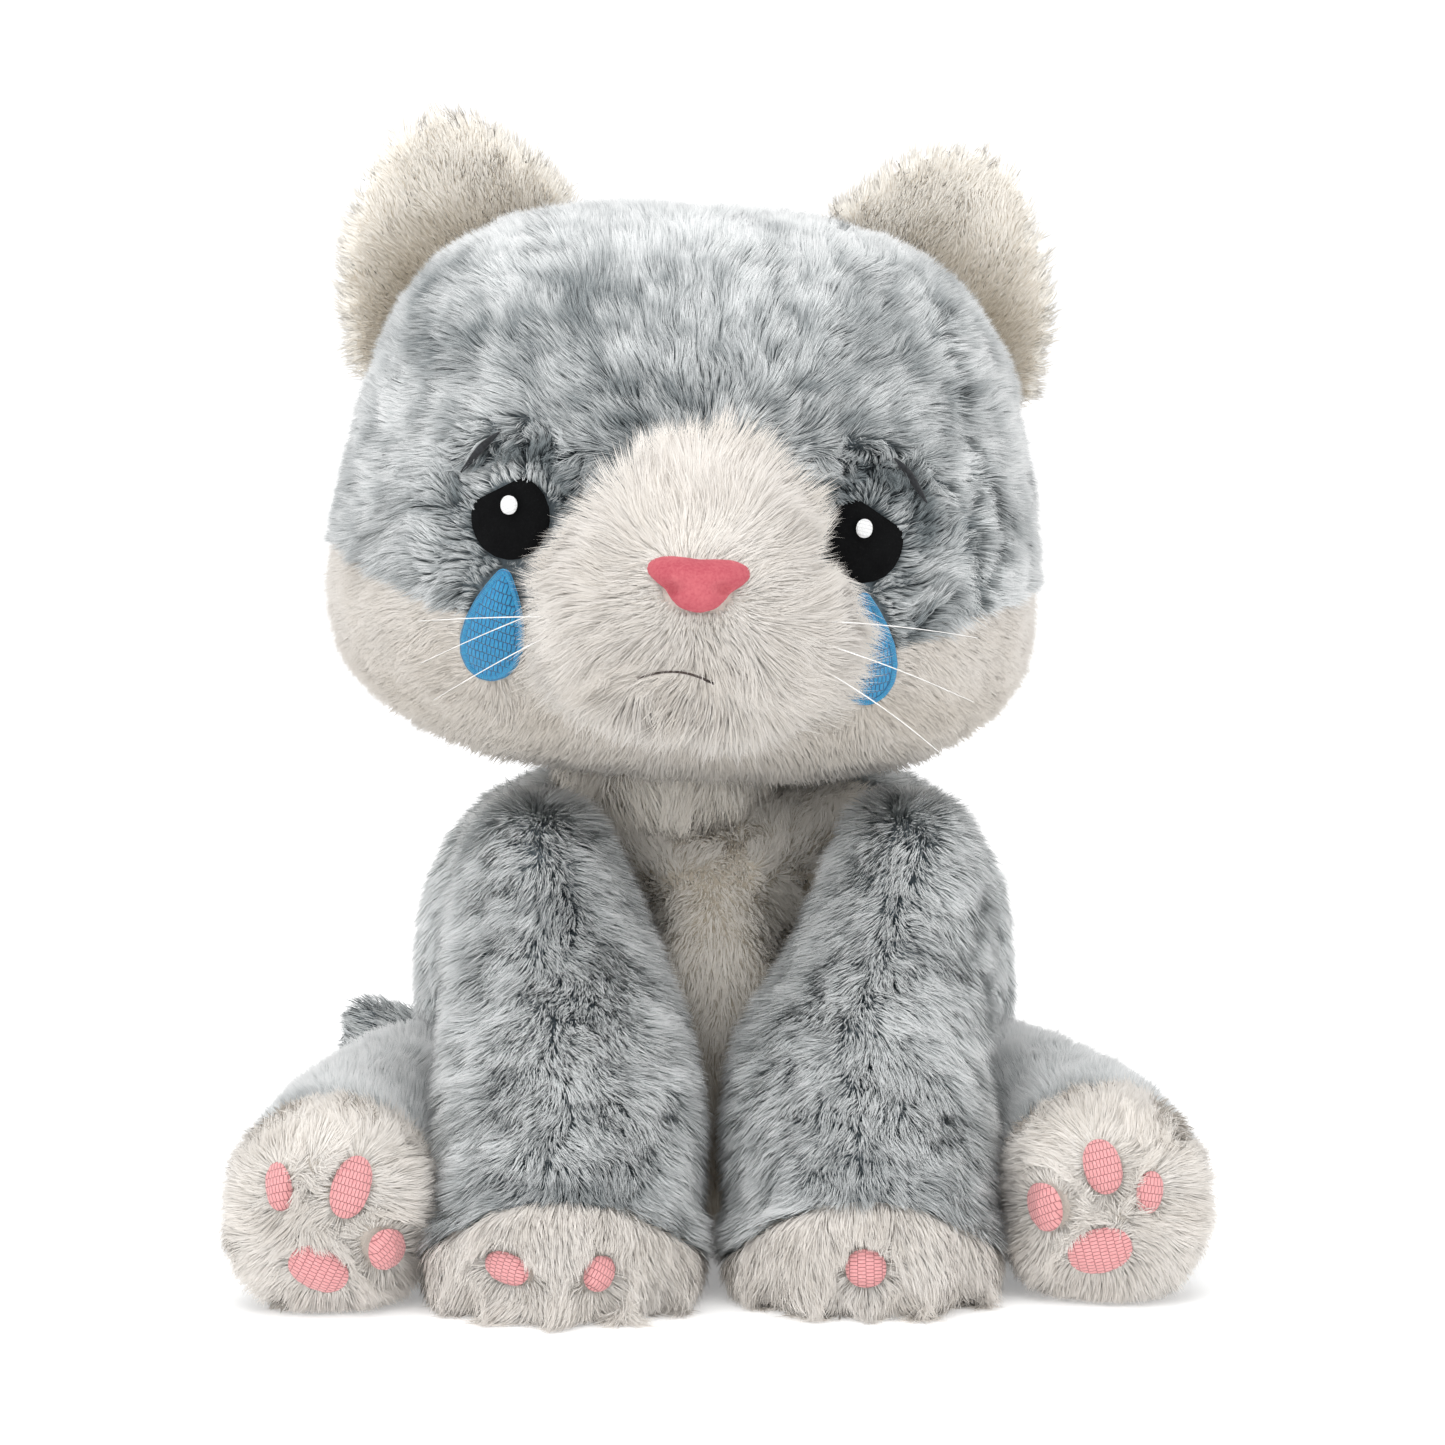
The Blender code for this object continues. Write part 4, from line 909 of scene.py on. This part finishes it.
def plush_leg(kind, foot, hand, side, pads):
    """A leg's skin and its grey and white pile, and its embroidered pads."""
    body = f"{kind}_{hand}"
    cover, end, fill = f"{kind}_cover_{hand}", f"{foot}_cover_{hand}", f"{kind}_stuffing_{hand}"
    skin = stuffed_skin(f"{kind}_skin_{hand}", body, (cover, end, fill), 3.2 * MM, 4)
    points = surface_of(skin)[0]
    regions = nearest_cover(points, (cover, end))
    colour_skin(skin, regions, {cover: grey_backing, end: white_backing})
    inside = smooth_step(0.0, 8 * MM, regions[end])
    toes = 0.5 + 0.5 * np.cos((points[:, 0] - middle_of(end)[0]) / TOE_SPACING * math.tau)
    toes = toes * smooth_step(26 * MM, 12 * MM, points[:, 2]) * (kind == "front_leg")
    bulges = inside * (1.6 + 2.6 * toes) * MM
    for pad in pads:
        bulges = bulges * smooth_step(3 * MM, 11 * MM, nearness(points, pad))
    for vert, bulge in zip(skin.data.vertices, bulges):
        vert.co += vert.normal * float(bulge)
        vert.co.z = max(vert.co.z, PRESSED_PILE)
    skin.data.update()
    inner = middle_of(fill)
    clear = [Clear(pad, inner, 0.62 if pad.endswith("3") or pad.startswith("sole") else 0.84) for pad in pads]
    roots, up, width, read = scatter(skin, regions, 61 + side)
    arch = ((roots[:, 0] - middle_of(end)[0]) / (33 * MM)) ** 2 if kind == "front_leg" else 0.0
    on_end = read[end] > 13 * MM * arch
    at = roots[~on_end]
    salt = 0.28 * drift(at, 4.0 * MM, 21)[:, 0]
    if kind == "front_leg":
        out = up[~on_end] * np.array((1.0, 0.6, 0.0))
        comb = 0.9 * unit(out + 1e-6) + np.array((0, -0.15, -0.75))
        shade = 1.0 + 0.40 * drift(at * np.array((0.6, 0.6, 1.0)), 12 * MM, 20)[:, 0] + salt
        seam = 1 - smooth_step(0.0, 9 * MM, at[:, 2] - (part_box(end)[1][2]))
    else:
        comb = unit(up[~on_end]) * 0.6 + np.array((0.2 * side, 0.8, 0.0))
        shade = 1.0 + 0.35 * drift(at, 11 * MM, 22)[:, 0] + salt
        seam = 1 - smooth_step(0.0, 9 * MM, at[:, 1] - (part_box(end)[1][1]))
    shade = shade - 0.25 * seam
    length = np.full(len(at), 7.6 * MM)
    options = dict(lift=(76, 42), tuft=2.0, pull=0.3, ruffle=0.6, seed=62 + side, curl=0.35)
    options["width"] = width[~on_end]
    root_set = (at, up[~on_end], comb, length, shade)
    sew_pile(f"{kind}_pile_{hand}", body, *root_set, grey_pile, "grey_pile", **options)

    at = roots[on_end]
    if kind == "front_leg":
        low = smooth_step(20 * MM, 4 * MM, at[:, 2])
        toe = (at[:, 0] - middle_of(end)[0]) / TOE_SPACING * math.tau
        comb = up[on_end] * np.array((0.8, 0.5, 0)) + np.array((0, -0.3, -0.8))
        comb[:, 0] -= 0.8 * low * np.sin(toe)
        length = (7.5 + low * (1.5 + 3.5 * np.cos(toe))) * MM
        lift = (60, 14)
    else:
        centre = middle_of(end)
        comb = (at - centre) * np.array((1, 0.3, 1)) / (20 * MM) + np.array((0, 0, -0.15))
        length = np.full(len(at), 7.5 * MM)
        lift = (60, 20)
    shade = 0.78 + 0.22 * drift(at, 6 * MM, 24)[:, 0]
    options = dict(lift=lift, tuft=2.6, pull=0.2, ruffle=0.45, edge=0.0, airy=True, seed=64 + side)
    options.update(clear=clear, width=width[on_end], steps=3)
    root_set = (at, up[on_end], comb, length, shade)
    sew_pile(f"{foot}_pile_{hand}", body, *root_set, white_pile, "white_pile", **options)
    for pad in pads:
        piece = sew_patch(pad, body, inner, pink_thread, count=48)


def plush_tail():
    skin = stuffed_skin("tail_skin", "tail", ("tail_cover", "tail_stuffing"), 2.6 * MM, 3)
    skin.data.materials.append(grey_backing)
    roots, up, width, _ = scatter(skin, {}, 71, 3.2, 2.8)
    comb = up * 0.3 + np.array((-1.0, 0, 0.25))
    shade = 0.7 + 0.3 * drift(roots, 10 * MM, 25)[:, 0]
    length = np.full(len(roots), 8.0 * MM)
    options = dict(lift=(55, 25), tuft=2.4, pull=0.45, ruffle=0.45, seed=72, width=width * 1.2)
    sew_pile("tail_pile", "tail", roots, up, comb, length, shade, grey_pile, "grey_pile", **options)


# Face


def sew_face():
    for hand, side in HANDS:
        eye = sew_patch(f"eye_{hand}", "head", head_middle, black_felt, ease=1, count=96)
        glint = sew_patch(f"eye_glint_{hand}", "head", head_middle, white_thread, count=32, lift=0.35 * MM)
        tear = sew_patch(f"teardrop_{hand}", "head", head_middle, blue_thread, blue_satin, 1.9 * MM, 96, 1)
        line = line_through(f"brow_stitch_{hand}", 7) + np.array((0, -3.5 * MM, 0))
        widths = np.array((0.5, 1.4, 1.9, 2.1, 1.9, 1.4, 0.5)) * MM
        brow = tapered_line(f"brow_{hand}", "head", f"brow_stitch_{hand}", line, widths, black_thread)
        for number in (1, 2, 3):
            node = f"whisker_{hand}_{number}"
            line = line_through(node, 7)
            widths = np.linspace(0.42, 0.12, 7)[::side] * MM
            whisker = tapered_line(node + "_bristle", "head", node, line, widths, nylon)
    line = line_through("mouth_stitch", 9) + np.array((0, -4.0 * MM, 0))
    mouth = tapered_line("mouth_line", "head", "mouth_stitch", line, np.full(9, 0.6 * MM), brown_thread)


def flock_nose():
    """The nose is a flocked triangle with a nostril pressed into each side."""
    bm = mesh_of_nodes(["nose"])
    mesh = bpy.data.meshes.new("nose_flocked")
    bm.to_mesh(mesh)
    bm.free()
    piece = bpy.data.objects.new("nose_flocked", mesh)
    bpy.context.scene.collection.objects.link(piece)
    fine = piece.modifiers.new("fine", "SUBSURF")
    fine.levels = 2
    fine.render_levels = 2
    piece.data = evaluated(piece)
    piece.modifiers.clear()
    for vert in piece.data.vertices:
        for side in (-1, 1):
            dx = (vert.co.x - nose_middle[0] - side * 6.2 * MM) / (2.2 * MM)
            dz = (vert.co.z - nose_middle[2] + 1.0 * MM) / (1.6 * MM)
            vert.co.y += 2.8 * MM * math.exp(-dx * dx - dz * dz)
    piece.data.shade_smooth()
    piece.data.materials.clear()
    piece.data.materials.append(nose_flock)
    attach(piece, "head")
    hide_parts("nose")


plush_head()
plush_ears()
plush_body()
plush_neck()
for hand, side in HANDS:
    toes = [f"front_toe_pad_{hand}_{n}" for n in ((1, 2) if hand == "right" else (1,))]
    plush_leg("front_leg", "front_paw", hand, side, toes)
    soles = [f"toe_pad_{hand}_{n}" for n in (1, 2, 3)] + [f"sole_pad_{hand}"]
    plush_leg("hind_leg", "hind_foot", hand, side, soles)
plush_tail()
sew_face()
flock_nose()


# Floor, light and camera


def studio():
    sweep_finish, tree, shader = new_material("white_sweep_with_painted_glow", Roughness=0.8)
    # Painted glow: the sweep gives off a little light of its own, though it is no lamp
    shader.inputs["Emission Color"].default_value = linear("FFFFFF")
    shader.inputs["Emission Strength"].default_value = 0.26
    place = add(tree, "ShaderNodeTexCoord")
    tooth = add(tree, "ShaderNodeTexNoise", [("Vector", place.outputs["Object"])], Scale=900.0)
    stops = ((0.3, "F4F4F4"), (0.7, "F8F8F8"))
    tone = add(tree, "ShaderNodeValToRGB", [("Fac", tooth.outputs["Fac"])], stops=stops)
    tree.links.new(tone.outputs["Color"], shader.inputs["Base Color"])
    bm = bmesh.new()
    bend = [math.radians(angle) for angle in range(0, 91, 6)]
    profile = [(-4.0, 0.0), *[(1.2 + 1.5 * math.sin(a), 1.5 - 1.5 * math.cos(a)) for a in bend], (2.7, 5.0)]
    rows = [[bm.verts.new((x, y, z)) for x in (-5.0, 5.0)] for y, z in profile]
    for one, two in zip(rows, rows[1:]):
        bm.faces.new((one[0], one[1], two[1], two[0]))
    mesh = bpy.data.meshes.new("acrylic_sweep")
    bm.to_mesh(mesh)
    bm.free()
    mesh.shade_smooth()
    mesh.materials.append(sweep_finish)
    sweep = bpy.data.objects.new("acrylic_sweep", mesh)
    bpy.context.scene.collection.objects.link(sweep)

    world = bpy.data.worlds.new("studio")
    bpy.context.scene.world = world
    world.use_nodes = True
    world.node_tree.nodes["Background"].inputs["Color"].default_value = linear("FFFFFF")
    world.node_tree.nodes["Background"].inputs["Strength"].default_value = 0.72

    lamps = (
        ("top_softbox", (-0.15, -0.5, 1.5), 1.3, 13.5),
        ("left_softbox", (-1.2, -1.1, 0.7), 1.1, 6.0),
        ("right_softbox", (1.3, -0.9, 0.6), 1.1, 5.0),
    )
    for name, place, size, power in lamps:
        light = bpy.data.lights.new(name, "AREA")
        light.size = size
        light.energy = power
        lamp = bpy.data.objects.new(name, light)
        lamp.location = place
        lamp.rotation_euler = (Vector((0, 0, 0.14)) - Vector(place)).to_track_quat("-Z", "Y").to_euler()
        bpy.context.scene.collection.objects.link(lamp)

    camera = bpy.data.objects.new("camera", bpy.data.cameras.new("camera"))
    camera.data.lens = CAMERA_LENS
    camera.data.sensor_width = 36.0
    camera.location = CAMERA_AT
    camera.rotation_euler = (math.pi / 2 - CAMERA_DOWN, 0.0, 0.0)
    bpy.context.scene.collection.objects.link(camera)
    bpy.context.scene.camera = camera
    bpy.context.scene.view_settings.view_transform = "Standard"


studio()
